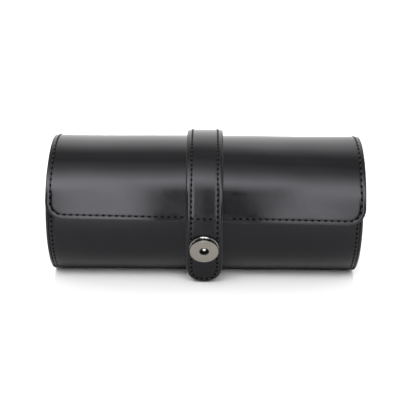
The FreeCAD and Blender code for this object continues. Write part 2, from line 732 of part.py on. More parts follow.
# Pillows: a foam core in a suede sleeve with a cap at each end, one in each slot.
for index, label in ((-1, "left"), (0, "centre"), (1, "right")):
    start = "%d * (slot_length + divider_depth) - pillow_length / 2" % index
    far_cap = "%d * (slot_length + divider_depth) + pillow_length / 2 - pillow_cap" % index
    pieces = [
        ("core", "pillow_radius - pillow_sleeve", None, start + " + pillow_cap",
         "pillow_length - 2 * pillow_cap"),
        ("sleeve", "pillow_radius", "pillow_radius - pillow_sleeve", start + " + pillow_cap",
         "pillow_length - 2 * pillow_cap"),
        ("left_cap", "pillow_radius", None, start, "pillow_cap"),
        ("right_cap", "pillow_radius", None, far_cap, "pillow_cap"),
    ]
    for name, outer, inner, begin, length in pieces:
        body = new_body(label + "_pillow_" + name)
        outline = section(body, "outline", begin)
        for radius in (outer, inner):
            if radius is None:
                continue
            centre = FreeCAD.Vector(0, value("axis_height - pillow_sink"), 0)
            circle = Part.Circle(centre, FreeCAD.Vector(0, 0, 1), value(radius))
            ring = outline.addGeometry(circle)
            centre_on_axis(outline, ring, "axis_height - pillow_sink")
            rule(outline, radius, "Radius", ring)
        pad(body, outline, length)
        if name.endswith("cap"):
            outward = -1 if name == "left_cap" else 1
            face_x = body.Shape.BoundBox.XMin if outward < 0 else body.Shape.BoundBox.XMax
            round_edges(body, "pillow_round",
                        lambda edge: edge.Closed and abs(edge.CenterOfMass.x - face_x) < 1e-3)
        finish(body)

doc.recompute()

os.makedirs("parts", exist_ok=True)
for item in doc.Objects:
    for state in item.State:
        if "Invalid" in state or "Error" in state:
            raise RuntimeError("%s is in state %s" % (item.Label, state))
for body in parts:
    shape = body.Shape
    if shape.isNull() or not shape.isValid() or len(shape.Solids) != 1:
        raise RuntimeError("%s is not one valid solid" % body.Label)
for body in parts:
    body.Shape.exportStep("parts/%s.step" % body.Label)
    print("%-26s %10.2f mm3" % (body.Label, body.Shape.Volume))
print(len(parts), "parts")
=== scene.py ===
import functools
import json
import math

import bmesh
import bpy
import numpy as np
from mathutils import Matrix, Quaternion, Vector


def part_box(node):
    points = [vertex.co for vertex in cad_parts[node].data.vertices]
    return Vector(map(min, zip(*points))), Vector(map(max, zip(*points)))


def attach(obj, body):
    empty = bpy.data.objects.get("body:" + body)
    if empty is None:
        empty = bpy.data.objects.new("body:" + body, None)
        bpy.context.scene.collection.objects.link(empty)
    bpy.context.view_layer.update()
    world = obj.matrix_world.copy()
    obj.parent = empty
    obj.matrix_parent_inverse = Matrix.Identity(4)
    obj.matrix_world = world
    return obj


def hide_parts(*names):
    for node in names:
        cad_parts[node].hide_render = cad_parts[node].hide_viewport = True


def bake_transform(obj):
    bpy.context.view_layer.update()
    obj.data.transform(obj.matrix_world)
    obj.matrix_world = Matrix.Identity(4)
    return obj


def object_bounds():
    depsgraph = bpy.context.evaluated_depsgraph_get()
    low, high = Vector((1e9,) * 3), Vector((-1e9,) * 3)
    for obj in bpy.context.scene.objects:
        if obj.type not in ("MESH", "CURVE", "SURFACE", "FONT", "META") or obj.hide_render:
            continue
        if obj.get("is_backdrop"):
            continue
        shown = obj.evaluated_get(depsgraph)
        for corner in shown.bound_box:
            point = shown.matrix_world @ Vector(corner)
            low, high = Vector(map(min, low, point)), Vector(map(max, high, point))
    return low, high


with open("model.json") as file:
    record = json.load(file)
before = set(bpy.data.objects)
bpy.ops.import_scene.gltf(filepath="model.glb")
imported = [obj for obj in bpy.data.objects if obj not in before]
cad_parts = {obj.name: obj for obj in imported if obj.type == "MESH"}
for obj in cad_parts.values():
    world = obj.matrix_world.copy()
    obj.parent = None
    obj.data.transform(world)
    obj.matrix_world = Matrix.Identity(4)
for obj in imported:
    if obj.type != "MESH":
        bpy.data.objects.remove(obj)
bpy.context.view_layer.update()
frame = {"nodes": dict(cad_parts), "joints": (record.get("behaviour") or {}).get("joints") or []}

MM = 0.001
rng = np.random.default_rng(11)

# ---- sizes, read from the frame
joints = {joint["name"]: joint for joint in frame["joints"]}
panel_low, panel_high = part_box("left_end_panel")
CASE_RADIUS = round((panel_high.y - panel_low.y) / 2, 4)
AXIS = panel_high.z - CASE_RADIUS
CASE_HALF = -panel_low.x
SHELL_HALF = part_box("body_shell")[1].x
ROOM_HALF = -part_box("left_end_lining")[1].x
FLAP_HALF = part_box("flap_leather")[1].x
STRAP_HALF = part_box("strap_face")[1].x


def seen_from_axis(joint_name):
    """(distance from the roll's axis, angle up from the front) of a joint's pin."""
    _, y, z = joints[joint_name]["pos_m"]
    return math.hypot(y, z - AXIS), math.degrees(math.atan2(z - AXIS, -y))


FLAP_OUTER, HINGE_ANGLE = seen_from_axis("flap_hinge")
STRAP_OUTER, FLAP_EDGE_ANGLE = seen_from_axis("strap_tail_bend")
LINING_INNER = CASE_RADIUS - 3.8 * MM
BOARD_INNER = CASE_RADIUS - 3.0 * MM
LIP_ANGLE = 25
REAR_ANGLE = 140
ROOT_ANGLE = 168
STRAP_TOP_ANGLE = 135
STRAP_FACE = 1.8 * MM
STRAP_BACKING = 1.7 * MM
TAIL_DROP = 4.5 * MM
TAIL_BEND = 14 * MM
TAIL_TURN = 25
TAIL_LOWER = 31.6 * MM
BUTTON_DROP = 4.4 * MM
BASE_BEND = 5 * MM


# ---- lines the leather follows
class Track:
    """A line in the YZ plane made of arcs and straights, with its outward side on the right."""

    def __init__(self, start, heading, runs):
        self.runs = []
        self.length = 0.0
        y, z = start
        heading = math.radians(heading)
        for length, turn in runs:
            turn = math.radians(turn)
            self.runs.append((self.length, length, y, z, heading, turn))
            y, z = (float(v) for v in self._walk(length, length, y, z, heading, turn)[:2])
            heading += turn
            self.length += length

    @staticmethod
    def _walk(s, length, y, z, heading, turn):
        s = np.asarray(s, float)
        if abs(turn) < 1e-9:
            return y + s * math.cos(heading), z + s * math.sin(heading), heading + 0 * s
        radius = length / turn
        angle = heading + s / radius
        return (y + radius * (np.sin(angle) - math.sin(heading)),
                z - radius * (np.cos(angle) - math.cos(heading)), angle)

    def at(self, s, lift=0.0):
        """Points (y, z) at distances s along the line, lifted off its outward side."""
        s = np.asarray(s, float)
        y = np.zeros_like(s)
        z = np.zeros_like(s)
        angle = np.zeros_like(s)
        for index, (begin, length, y0, z0, heading, turn) in enumerate(self.runs):
            here = s >= begin if index else np.ones_like(s, bool)
            along = s - begin
            if index == len(self.runs) - 1:
                along = np.minimum(along, length)
            got = self._walk(along, length, y0, z0, heading, turn)
            y, z, angle = (np.where(here, new, old) for new, old in zip(got, (y, z, angle)))
        past = np.maximum(s - self.length, 0)
        y = y + past * np.cos(angle)
        z = z + past * np.sin(angle)
        return np.stack([y + lift * np.sin(angle), z - lift * np.cos(angle)], -1)

    def normal(self, s):
        return (self.at(s, MM) - self.at(s)) / MM


def on_circle(radius, angle):
    """(y, z) at an angle up from the front."""
    angle = math.radians(angle)
    return -radius * math.cos(angle), AXIS + radius * math.sin(angle)


def arc(radius, degrees):
    return radius * math.radians(abs(degrees)), degrees


def round_the_base(radius, front, rear):
    """Runs from an angle on the front, round the flat base, to an angle on the back."""
    drop = CASE_RADIUS - radius
    bend = BASE_BEND - drop
    corner = math.degrees(math.asin((AXIS - BASE_BEND) / (CASE_RADIUS - BASE_BEND)))
    flat = 2 * (CASE_RADIUS - BASE_BEND) * math.cos(math.radians(corner))
    return [arc(radius, front + corner), arc(bend, 90 - corner), (flat, 0),
            arc(bend, 90 - corner), arc(radius, 180 + corner - rear)]


# Angles fall along every track, so its heading is 270 degrees less the angle up from the front.
TURN_IN = 1.9 * MM
LEG = 8 * MM
leg_angle = math.degrees(LEG / LINING_INNER)
shell_track = Track(
    on_circle(LINING_INNER, LIP_ANGLE - leg_angle), 90 - LIP_ANGLE + leg_angle,
    [(LEG, -leg_angle), (math.pi * TURN_IN, 180)]
    + round_the_base(CASE_RADIUS, LIP_ANGLE, REAR_ANGLE)
    + [(math.pi * TURN_IN, 180), (LEG, -leg_angle)])
SHELL_START = LEG + math.pi * TURN_IN
SHELL_END = shell_track.length - SHELL_START

lining_angle = LIP_ANGLE - leg_angle - 1
lining_track = Track(on_circle(BOARD_INNER, lining_angle), 270 - lining_angle,
                     round_the_base(BOARD_INNER, lining_angle, REAR_ANGLE + leg_angle + 1))

flap_track = Track(on_circle(FLAP_OUTER, ROOT_ANGLE), 270 - ROOT_ANGLE,
                   [arc(FLAP_OUTER, ROOT_ANGLE - FLAP_EDGE_ANGLE)])
HINGE_AT = FLAP_OUTER * math.radians(ROOT_ANGLE - HINGE_ANGLE)

strap_track = Track(on_circle(STRAP_OUTER, STRAP_TOP_ANGLE), 270 - STRAP_TOP_ANGLE,
                    [arc(STRAP_OUTER, STRAP_TOP_ANGLE - FLAP_EDGE_ANGLE), (TAIL_DROP, 0),
                     arc(TAIL_BEND, TAIL_TURN), (TAIL_LOWER, 0)])
BEND_AT = STRAP_OUTER * math.radians(STRAP_TOP_ANGLE - FLAP_EDGE_ANGLE)
BUTTON_AT = BEND_AT + TAIL_DROP + TAIL_BEND * math.radians(TAIL_TURN) + BUTTON_DROP


# ---- mesh helpers
def new_object(name, vertices, faces, attributes=None, merge=False):
    """A smooth object with its faces turned outwards; merge joins the vertices that coincide."""
    mesh = bpy.data.meshes.new(name)
    mesh.from_pydata(np.asarray(vertices, float).tolist(), [], [list(map(int, f)) for f in faces])
    for key, numbers in (attributes or {}).items():
        layer = mesh.attributes.new(key, "FLOAT", "POINT")
        layer.data.foreach_set("value", np.asarray(numbers, np.float32))
    work = bmesh.new()
    work.from_mesh(mesh)
    if merge:
        bmesh.ops.remove_doubles(work, verts=work.verts, dist=1e-6)
    bmesh.ops.recalc_face_normals(work, faces=work.faces)
    work.to_mesh(mesh)
    work.free()
    mesh.polygons.foreach_set("use_smooth", [True] * len(mesh.polygons))
    thing = bpy.data.objects.new(name, mesh)
    bpy.context.scene.collection.objects.link(thing)
    return thing


def band(first, second):
    """Quads between two closed rings of vertex numbers."""
    return list(zip(first, np.roll(first, -1), np.roll(second, -1), second))


def fan(tip, ring):
    """Triangles from a closed ring of vertex numbers to a tip."""
    return [(tip, ahead, here) for here, ahead in zip(ring, np.roll(ring, -1))]


def unit(vectors):
    return vectors / np.linalg.norm(vectors, axis=-1, keepdims=True)


def circle(steps):
    """Angles evenly round a circle."""
    return 2 * math.pi * np.arange(steps) / steps


def stations(low, high, step, fine=()):
    """Evenly spaced numbers from low to high, with closer ones round each (place, reach, step)."""
    least_gap = 0.1 * MM
    count = max(2, int(round((high - low) / step)) + 1)
    numbers = list(np.linspace(low, high, count))
    for place, reach, small in fine:
        numbers = [v for v in numbers if abs(v - place) > reach]
        numbers += list(np.arange(-reach, reach + small / 2, small) + place)
    numbers = sorted(v for v in numbers if low <= v <= high)
    kept = [low]
    for v in numbers:
        if v - kept[-1] > least_gap:
            kept.append(v)
    kept[-1] = high
    return np.array(kept)


def smoothstep(x, low, high):
    t = np.clip((x - low) / (high - low), 0, 1)
    return t * t * (3 - 2 * t)


class Cut:
    """The outline of a piece of leather laid flat: x across, s along its track.

    The half width is a number or a function of s. A skewed piece hangs lower at one end of its
    far edge; the shift moves it sideways.
    """

    SKEW_REACH = 60 * MM
    SHIFT_LOST = 0.4

    def __init__(self, half, start, end, start_corner=0.0, end_corner=0.0, skew=0.0, shift=0.0):
        self.half = half
        self.start = start
        self.end = end
        self.corners = (start_corner, end_corner)
        self.skew = skew
        self.shift = shift

    def plain_half(self, s):
        return self.half(s) if callable(self.half) else np.full_like(s, self.half)

    def half_at(self, s):
        """Half the width at s, less what the corners take."""
        half = self.plain_half(s)
        for corner, gap in zip(self.corners, (s - self.start, self.end - s)):
            if corner:
                near = np.clip(corner - np.maximum(gap, 0), 0, corner)
                half = half - corner + np.sqrt(np.maximum(corner ** 2 - near ** 2, 0))
        return half

    def inset(self, x, s):
        """Distance from a point to the outline, inside it."""
        u = self.plain_half(s) - np.abs(x)
        result = np.full(np.shape(x), 1.0)
        for corner, gap in zip(self.corners, (s - self.start, self.end - s)):
            inside = corner - np.hypot(np.maximum(corner - u, 0), np.maximum(corner - gap, 0))
            in_corner = (u < corner) & (gap < corner)
            result = np.minimum(result, np.where(in_corner, inside, np.minimum(u, gap)))
        return result

    def place(self, x, s):
        """Where a point of the plain outline goes once the skew and the shift are in."""
        pull = smoothstep(s, self.end - self.SKEW_REACH, self.end)
        return x + self.shift * (1 - self.SHIFT_LOST * pull), s - self.skew * x * pull


EDGE_WEAR = 0.9 * MM        # reach of the burnish along an edge


def leather_sheet(name, track, cut, across, along, thickness, rim, top=0.0, relief=None,
                  rim_steps=6, rise=None):
    """A sheet with a rounded rim, bent along a track; top is the height of its outer side."""
    inner_half = cut.half_at(np.array([(cut.start + cut.end) / 2]))[0]
    run = cut.end - cut.start
    s_grid = cut.start + rim + (along - cut.start) * (run - 2 * rim) / run
    s_grid = np.repeat(s_grid[None, :], len(across), 0)
    widths = cut.half_at(np.repeat(along[None, :], len(across), 0)) - rim
    x_grid = across[:, None] / inner_half * widths
    depth = thickness(s_grid) if callable(thickness) else np.full_like(s_grid, thickness)
    height = relief(x_grid, s_grid) if relief else np.zeros_like(s_grid)

    def lifted(x, s, lift):
        if rise:
            lift = lift + rise(s)
        x, s = cut.place(x, s)
        yz = track.at(s) + track.normal(s) * lift[..., None]
        return np.concatenate([x[..., None], yz], -1)

    rows, columns = s_grid.shape
    outer = lifted(x_grid, s_grid, top + height).reshape(-1, 3)
    inner = lifted(x_grid, s_grid, top - depth).reshape(-1, 3)
    index = np.arange(rows * columns).reshape(rows, columns)
    loop = np.concatenate([index[:, 0], index[-1, 1:], index[-2::-1, -1], index[0, -2:0:-1]])
    flat = np.stack([x_grid.ravel()[loop], s_grid.ravel()[loop]], -1)
    ahead = np.roll(flat, -1, 0) - np.roll(flat, 1, 0)
    out = unit(np.stack([ahead[:, 1], -ahead[:, 0]], -1))
    out *= np.sign(np.sum((flat - flat.mean(0)) * out))
    edge_depth = depth.ravel()[loop]
    edge_height = height.ravel()[loop]
    vertices = [outer, inner]
    rings = [loop]
    base = 2 * rows * columns
    for step in range(1, rim_steps):
        turn = math.pi * step / rim_steps
        reach = rim * math.sin(turn)
        drop = (1 - math.cos(turn)) / 2
        lift = top + edge_height - (edge_height + edge_depth) * drop
        ring = flat + out * reach
        vertices.append(lifted(ring[:, 0], ring[:, 1], lift))
        rings.append(base + np.arange(len(loop)))
        base += len(loop)
    rings.append(loop + rows * columns)
    faces = []
    for a, b, c, d in zip(index[:-1, :-1].ravel(), index[1:, :-1].ravel(),
                          index[1:, 1:].ravel(), index[:-1, 1:].ravel()):
        faces.append((a, b, c, d))
        faces.append(tuple(rows * columns + v for v in (a, d, c, b)))
    for first, second in zip(rings, rings[1:]):
        faces += band(first, second)
    edge = np.exp(-cut.inset(x_grid, s_grid).ravel() / EDGE_WEAR)
    edge = np.concatenate([edge, edge] + [np.ones(len(loop))] * (rim_steps - 1))
    return new_object(name, np.concatenate(vertices), faces, {"edge": edge})


def groove(inset, margin, depth, width):
    return -depth * np.exp(-((inset - margin) / width) ** 2)


def run_along(points):
    """Distance covered at each point of a line."""
    gaps = np.linalg.norm(np.diff(points, axis=0), axis=1)
    return np.concatenate([[0], np.cumsum(gaps)])


def point_at(marks, run, points):
    return np.stack([np.interp(marks, run, points[:, k]) for k in range(points.shape[1])], -1)


def resample(points, step):
    run = run_along(points)
    count = max(2, int(round(run[-1] / step)) + 1)
    return point_at(np.linspace(0, run[-1], count), run, points)


def outline_path(cut, margin):
    """Points (x, s) all round a cut at a margin inside it, corner arcs included."""
    step = 0.25 * MM
    least_corner = 0.4 * MM
    width = cut.plain_half(np.array([(cut.start + cut.end) / 2]))[0] - margin
    low = cut.start + margin
    high = cut.end - margin
    first, last = (max(corner - margin, least_corner) for corner in cut.corners)

    def quarter(cx, cs, radius, begin):
        count = max(3, int(radius * math.pi / 2 / step))
        turns = np.linspace(begin, begin + math.pi / 2, count)
        return [(cx + radius * math.cos(a), cs + radius * math.sin(a)) for a in turns]

    ring = []
    for side, at, radius, turns in ((-1, low + first, first, 2), (1, low + first, first, 3),
                                    (1, high - last, last, 0), (-1, high - last, last, 1)):
        ring += quarter(side * (width - radius), at, radius, turns * math.pi / 2)
    ring.append(ring[0])
    ring = resample(np.array(ring), step)
    ring[:, 0] *= (cut.plain_half(ring[:, 1]) - margin) / width
    return ring


THREAD_RADIUS = 0.31 * MM
THREAD_SIDES = 8
STITCH_SECTIONS = 9
STITCH_SHARE = 0.58         # of the pitch that the thread shows on
STITCH_SLANT = 0.16
HOLE_LENGTH = 0.92 * MM     # half lengths, along and across the row
HOLE_WIDTH = 0.62 * MM
HOLE_SIDES = 12
HOLE_DEPTH = 0.12 * MM
HOLE_LIFT = 0.07 * MM


def stitch_row(name, track, cut, path, pitch, surface, keep=None, rise=None):
    """Thread stitches along a flat path on a surface, each diving into a needle hole whose hollow
    is painted shade.
    """
    run = run_along(path)
    count = max(1, int(round(run[-1] / pitch)))
    pitch = run[-1] / count
    vertices = []
    faces = []
    shade_faces = []

    def lay(x, s, lift):
        """Points on the leather, and the way out of it there."""
        lift = lift + surface(x, s)
        if rise:
            lift = lift + rise(s)
        if cut:
            x, s = cut.place(x, s)
        out = track.normal(s)
        points = np.concatenate([x[:, None], track.at(s) + out * lift[:, None]], -1)
        return points, np.concatenate([np.zeros((len(x), 1)), out], -1)

    def stitch(line, t):
        """A thread that rises from one hole, twists and dives into the next."""
        arch = np.cos(t * math.pi) ** 0.6 * (1 + 0.06 * rng.standard_normal())
        centre, normal = lay(line[:, 0], line[:, 1], THREAD_RADIUS * (1.25 * arch - 0.8))
        width = THREAD_RADIUS * (0.62 + 0.38 * np.cos(t * math.pi))
        forward = unit(np.gradient(centre, axis=0))
        right = unit(np.cross(forward, normal))
        up = np.cross(right, forward)
        base = len(vertices)
        for k in range(STITCH_SECTIONS):
            for a in circle(THREAD_SIDES):
                strand = 1 + 0.07 * math.cos(3 * a + 5.5 * t[k] * math.pi)
                spoke = right[k] * math.cos(a) + up[k] * math.sin(a)
                vertices.append(centre[k] + spoke * width[k] * strand)
        rings = base + np.arange(STITCH_SECTIONS * THREAD_SIDES).reshape(-1, THREAD_SIDES)
        for first, second in zip(rings, rings[1:]):
            faces.extend(band(first, second))
        faces.append(tuple(rings[0]))
        faces.append(tuple(rings[-1][::-1]))

    def painted_hole_shade(at, ahead, aside):
        """A dark oval lens on the leather: painted shade standing in for the hollow of the needle
        hole.
        """
        turns = circle(HOLE_SIDES)
        ring = (at + np.outer(np.cos(turns) * HOLE_LENGTH, ahead)
                + np.outer(np.sin(turns) * HOLE_WIDTH, aside))
        rim, out = lay(ring[:, 0], ring[:, 1], np.full(HOLE_SIDES, HOLE_LIFT))
        centre, _ = lay(at[:1], at[1:], np.full(1, HOLE_LIFT))
        base = len(vertices)
        vertices.extend(rim)
        vertices.extend(rim - out * HOLE_DEPTH)
        vertices.extend([centre[0], centre[0] - out[0] * 2 * HOLE_DEPTH])
        upper = base + np.arange(HOLE_SIDES)
        lower = upper + HOLE_SIDES
        begin = len(faces)
        faces.extend(fan(base + 2 * HOLE_SIDES, upper[::-1]))
        faces.extend(fan(base + 2 * HOLE_SIDES + 1, lower))
        faces.extend(band(lower, upper))
        shade_faces.extend(range(begin, len(faces)))

    for number in range(count):
        middle = (number + 0.5) * pitch
        t = np.linspace(-0.5, 0.5, STITCH_SECTIONS)
        line = point_at(middle + t * pitch * STITCH_SHARE, run, path)
        if keep is not None and not keep(*line[STITCH_SECTIONS // 2]):
            continue
        ahead = unit(line[-1] - line[0])
        aside = np.array([-ahead[1], ahead[0]])
        stitch(line + aside[None, :] * (t * STITCH_SLANT * pitch)[:, None], t)
        painted_hole_shade(point_at(middle - pitch / 2, run, path), ahead, aside)
    row = new_object(name, vertices, faces)
    row.data.materials.append(THREAD)
    # the second material is the painted shade of the needle holes
    row.data.materials.append(NEEDLE_HOLE_SHADE)
    for index in shade_faces:
        row.data.polygons[index].material_index = 1
    return row


# ---- materials
def node_material(name):
    material = bpy.data.materials.new(name)
    material.use_nodes = True
    tree = material.node_tree
    return material, tree, tree.nodes["Principled BSDF"]


def feed(tree, socket, value):
    """Links a socket to another one, or sets its value."""
    if isinstance(value, bpy.types.NodeSocket):
        tree.links.new(value, socket)
    else:
        socket.default_value = value


def add(tree, kind, settings=None, **inputs):
    """A node with its settings and inputs; an input's name has _ for a space."""
    node = tree.nodes.new(kind)
    for key, setting in (settings or {}).items():
        setattr(node, key, setting)
    for key, value in inputs.items():
        feed(tree, node.inputs[key.replace("_", " ")], value)
    return node


def calc(tree, operation, *values):
    node = add(tree, "ShaderNodeMath", {"operation": operation})
    for socket, value in zip(node.inputs, values):
        feed(tree, socket, value)
    return node.outputs["Value"]


def ramp(tree, source, stops):
    node = add(tree, "ShaderNodeValToRGB", None, Fac=source)
    elements = node.color_ramp.elements
    while len(elements) < len(stops):
        elements.new(0.5)
    for element, (place, colour) in zip(elements, stops):
        element.position = place
        element.color = (*colour, 1)
    return node.outputs["Color"]


def grey(level):
    return (level, level, level)


class Surface:
    """A procedural material being put together."""

    def __init__(self, name):
        self.material, self.tree, self.shader = node_material(name)
        self.place = add(self.tree, "ShaderNodeTexCoord").outputs["Object"]
        self.relief = {}

    def texture(self, kind, settings=None, **inputs):
        """The main output of a texture laid over the object."""
        node = add(self.tree, "ShaderNodeTex" + kind, settings, Vector=self.place, **inputs)
        return node.outputs["Distance" if kind == "Voronoi" else "Fac"]

    def ramp(self, source, low, high):
        """A colour ramp between two (place, colour) stops."""
        return ramp(self.tree, source, [low, high])

    def bump(self, source, strength, distance):
        """Relief on top of what is there already."""
        node = add(self.tree, "ShaderNodeBump", None, Height=source, Strength=strength,
                   Distance=distance, **self.relief)
        self.relief = {"Normal": node.outputs["Normal"]}

    def mix(self, a, b, factor, **settings):
        node = add(self.tree, "ShaderNodeMix", settings, A=a, B=b, Factor=factor)
        return node.outputs["Result"]

    def finish(self, **inputs):
        for key, value in (inputs | self.relief).items():
            feed(self.tree, self.shader.inputs[key.replace("_", " ")], value)
        return self.material


LEATHER_SPECULAR = 0.21
# painted shade: close to the floor the leather loses nearly all its reflection, so its foot goes
# dark as in the contact shadow
FOOT_SHADE = {"Roughness": 0.6, "Specular_IOR_Level": 0.01}
FOOT_SHADE_HEIGHTS = (2 * MM, 12 * MM)


def leather(name, rough, grain=0.0, shade_at_foot=False):
    """Smooth calf leather: fine pores, faint creases, mottled finish and burnished edges.

    The grain is the strength of its pebbles; with shade at the foot the leather turns rough and
    loses its reflection next to the floor, a painted contact shade.
    """
    skin = Surface(name)
    cloud = skin.texture("Noise", Scale=55.0, Detail=5.0, Roughness=0.6)
    pores = skin.texture("Voronoi", {"feature": "DISTANCE_TO_EDGE"}, Scale=1500.0)
    fine = skin.texture("Noise", Scale=2600.0, Detail=3.0)
    crease = skin.texture("Noise", Scale=330.0, Detail=6.0, Roughness=0.65, Distortion=0.4)
    tint = skin.ramp(cloud, (0.3, (0.0016, 0.0016, 0.0018)), (0.7, (0.003, 0.0029, 0.0031)))
    edge = add(skin.tree, "ShaderNodeAttribute", {"attribute_name": "edge"}).outputs["Fac"]
    rubbed = calc(skin.tree, "MULTIPLY", edge, crease)
    worn = skin.mix(tint, (0.02, 0.0196, 0.0192, 1), rubbed, data_type="RGBA")
    skin.bump(crease, 0.1, 0.12 * MM)
    skin.bump(pores, 0.2, 0.04 * MM)
    skin.bump(fine, 0.15, 0.03 * MM)
    if grain:
        pebbles = skin.texture("Voronoi", {"feature": "SMOOTH_F1"}, Scale=1050.0)
        skin.bump(pebbles, grain, 0.1 * MM)
    gloss = skin.ramp(crease, (0.3, grey(rough[0])), (0.75, grey(rough[1])))
    sheen = {"Roughness": gloss, "Specular_IOR_Level": LEATHER_SPECULAR}
    if shade_at_foot:
        # painted shade at the foot: gloss and reflection fade out between the two heights above the
        # floor
        place = add(skin.tree, "ShaderNodeSeparateXYZ", None, Vector=skin.place)
        kept = add(skin.tree, "ShaderNodeMapRange", {"interpolation_type": "SMOOTHSTEP"},
                   Value=place.outputs["Z"], From_Min=FOOT_SHADE_HEIGHTS[0], From_Max=FOOT_SHADE_HEIGHTS[1])
        for key, shade_value in FOOT_SHADE.items():
            sheen[key] = skin.mix(shade_value, sheen[key], kept.outputs["Result"])
    return skin.finish(Base_Color=worn, Specular_Tint=(0.94, 0.925, 1.0, 1), **sheen)


def suede(name, dark, light):
    """Napped suede: brushed patches, short fibres and a soft sheen."""
    nap = Surface(name)
    brushed = nap.texture("Noise", Scale=70.0, Detail=4.0, Distortion=0.6)
    fibre = nap.texture("Noise", Scale=3200.0, Detail=4.0, Roughness=0.8)
    tuft = nap.texture("Noise", Scale=900.0, Detail=3.0)
    tint = nap.ramp(brushed, (0.35, dark), (0.65, light))
    speck = nap.ramp(fibre, (0.3, grey(0.78)), (0.7, grey(1.0)))
    nap.bump(tuft, 0.45, 0.18 * MM)
    nap.bump(fibre, 0.6, 0.1 * MM)
    tint = nap.mix(tint, speck, 1.0, data_type="RGBA", blend_type="MULTIPLY")
    gloss = nap.ramp(tuft, (0.3, grey(0.86)), (0.7, grey(0.97)))
    return nap.finish(Base_Color=tint, Roughness=gloss, Sheen_Weight=0.5, Sheen_Roughness=0.45,
                      Specular_IOR_Level=0.2)


def thread_material(name, colour):
    """Waxed twisted thread."""
    wax = Surface(name)
    twist = wax.texture("Noise", Scale=2400.0, Detail=2.0)
    wax.bump(twist, 0.5, 0.06 * MM)
    tint = wax.ramp(twist, (0.3, tuple(c * 0.6 for c in colour)), (0.7, colour))
    gloss = wax.ramp(twist, (0.3, grey(0.3)), (0.7, grey(0.42)))
    return wax.finish(Base_Color=tint, Roughness=gloss, Specular_IOR_Level=0.28)


def metal(name, colour, rough, brushed=0.0):
    """Plated metal with small changes in gloss and, if brushed, fine polishing marks."""
    plate = Surface(name)
    smear = plate.texture("Noise", Scale=160.0, Detail=3.0)
    if brushed:
        plate.bump(plate.texture("Noise", Scale=900.0, Detail=4.0), brushed, 0.03 * MM)
    tint = plate.ramp(smear, (0.3, tuple(c * 0.9 for c in colour)), (0.7, colour))
    gloss = plate.ramp(smear, (0.3, grey(rough * 0.8)), (0.7, grey(rough * 1.2)))
    return plate.finish(Base_Color=tint, Roughness=gloss, Metallic=1.0)


def fibrous(name, dark, light, scale, specular=0.5):
    """Board, foam or the painted shade of a needle hole: matt, speckled and porous."""
    matt = Surface(name)
    grain = matt.texture("Noise", Scale=scale, Detail=5.0, Roughness=0.7)
    matt.bump(grain, 0.5, 0.1 * MM)
    tint = matt.ramp(grain, (0.35, dark), (0.65, light))
    gloss = matt.ramp(grain, (0.35, grey(0.85)), (0.65, grey(0.95)))
    return matt.finish(Base_Color=tint, Roughness=gloss, Specular_IOR_Level=specular)


# the case's foot takes the painted contact shade
CASE_LEATHER = leather("case_leather", (0.12, 0.18), shade_at_foot=True)
FLAP_LEATHER = leather("flap_leather", (0.09, 0.14))
STRAP_LEATHER = leather("strap_leather", (0.11, 0.16), grain=0.12)
THREAD = thread_material("black_thread", (0.009, 0.009, 0.0095))
# painted shade: near-black, unlit colour for the hollows of the needle holes
NEEDLE_HOLE_SHADE = fibrous("painted_hole_shade", grey(0.0025), grey(0.004), 3000.0, specular=0.0)
LINING = suede("lining_suede", (0.085, 0.082, 0.079), (0.115, 0.111, 0.107))
PILLOW = suede("pillow_suede", (0.115, 0.111, 0.106), (0.15, 0.144, 0.138))
RIM_METAL = metal("black_nickel", (0.2, 0.195, 0.19), 0.12)
DARK_METAL = metal("dark_nickel", grey(0.02), 0.3)
FACE_METAL = metal("satin_nickel", (0.245, 0.228, 0.202), 0.34, brushed=0.3)
STEEL = metal("bright_steel", (0.72, 0.71, 0.69), 0.16, brushed=0.15)
# painted shade: the magnet is near-black so the ring of the hole round the rivet reads as a dark
# hollow
MAGNET_SHADE = metal("magnet_painted_shade", grey(0.03), 0.4, brushed=0.3)
BOARD = fibrous("grey_board", (0.24, 0.21, 0.17), (0.36, 0.32, 0.27), 700.0)
FOAM = fibrous("foam", (0.5, 0.48, 0.44), (0.72, 0.7, 0.66), 1200.0)


def wear(thing, material):
    thing.data.materials.clear()
    thing.data.materials.append(material)


# ---- case leather
SHELL_LEATHER = 1.7 * MM
SKIVED_AWAY = 0.95 * MM     # thickness the shell loses where it turns in
END_MARGIN = 3.2 * MM - (CASE_HALF - SHELL_HALF)
END_PITCH = 3.0 * MM
END_SEAM_STOPS = (1.5 * MM, 14 * MM)    # short of the lip in front and behind
LIP_MARGIN = 3.0 * MM
LIP_PITCH = 3.4 * MM
LIP_GROOVE = (0.12 * MM, 0.7 * MM)      # depth and width
END_GROOVE = (0.12 * MM, 0.8 * MM)
BASE_CLEAR = 2.5 * MM       # the end seams keep this far above the floor


def shell_half(s):
    """The shell is as wide as the case outside and narrower where it turns in."""
    inside = np.maximum(SHELL_START - 1.5 * MM - s, s - SHELL_END - 1.5 * MM)
    return SHELL_HALF - (SHELL_HALF - ROOM_HALF + 0.3 * MM) * smoothstep(inside, 0, 2.5 * MM)


def shell_depth(s):
    inside = np.maximum(SHELL_START - s, s - SHELL_END)
    return SHELL_LEATHER - SKIVED_AWAY * smoothstep(inside, 0, 3 * MM)


def soft_waves(x, s, size, seed):
    """Slow, low swells, as in hand-laid leather."""
    phases = np.random.default_rng(seed).uniform(0, 2 * math.pi, 8)
    total = 0
    for k in range(4):
        across = np.sin(x * (60 + 37 * k) + phases[k])
        total = total + across * np.sin(s * (75 + 31 * k) + phases[4 + k]) / (k + 1)
    return size * total / 2


def shell_relief(x, s):
    inset = SHELL_HALF - np.abs(x)
    outside = (s > SHELL_START) & (s < SHELL_END)
    rolled = 0.5 * MM * np.exp(-inset / (0.7 * MM))
    relief = groove(inset, END_MARGIN, *END_GROOVE) - rolled + soft_waves(x, s, 0.08 * MM, 3)
    return np.where(outside, relief, 0) + groove(s - SHELL_START, LIP_MARGIN, *LIP_GROOVE)


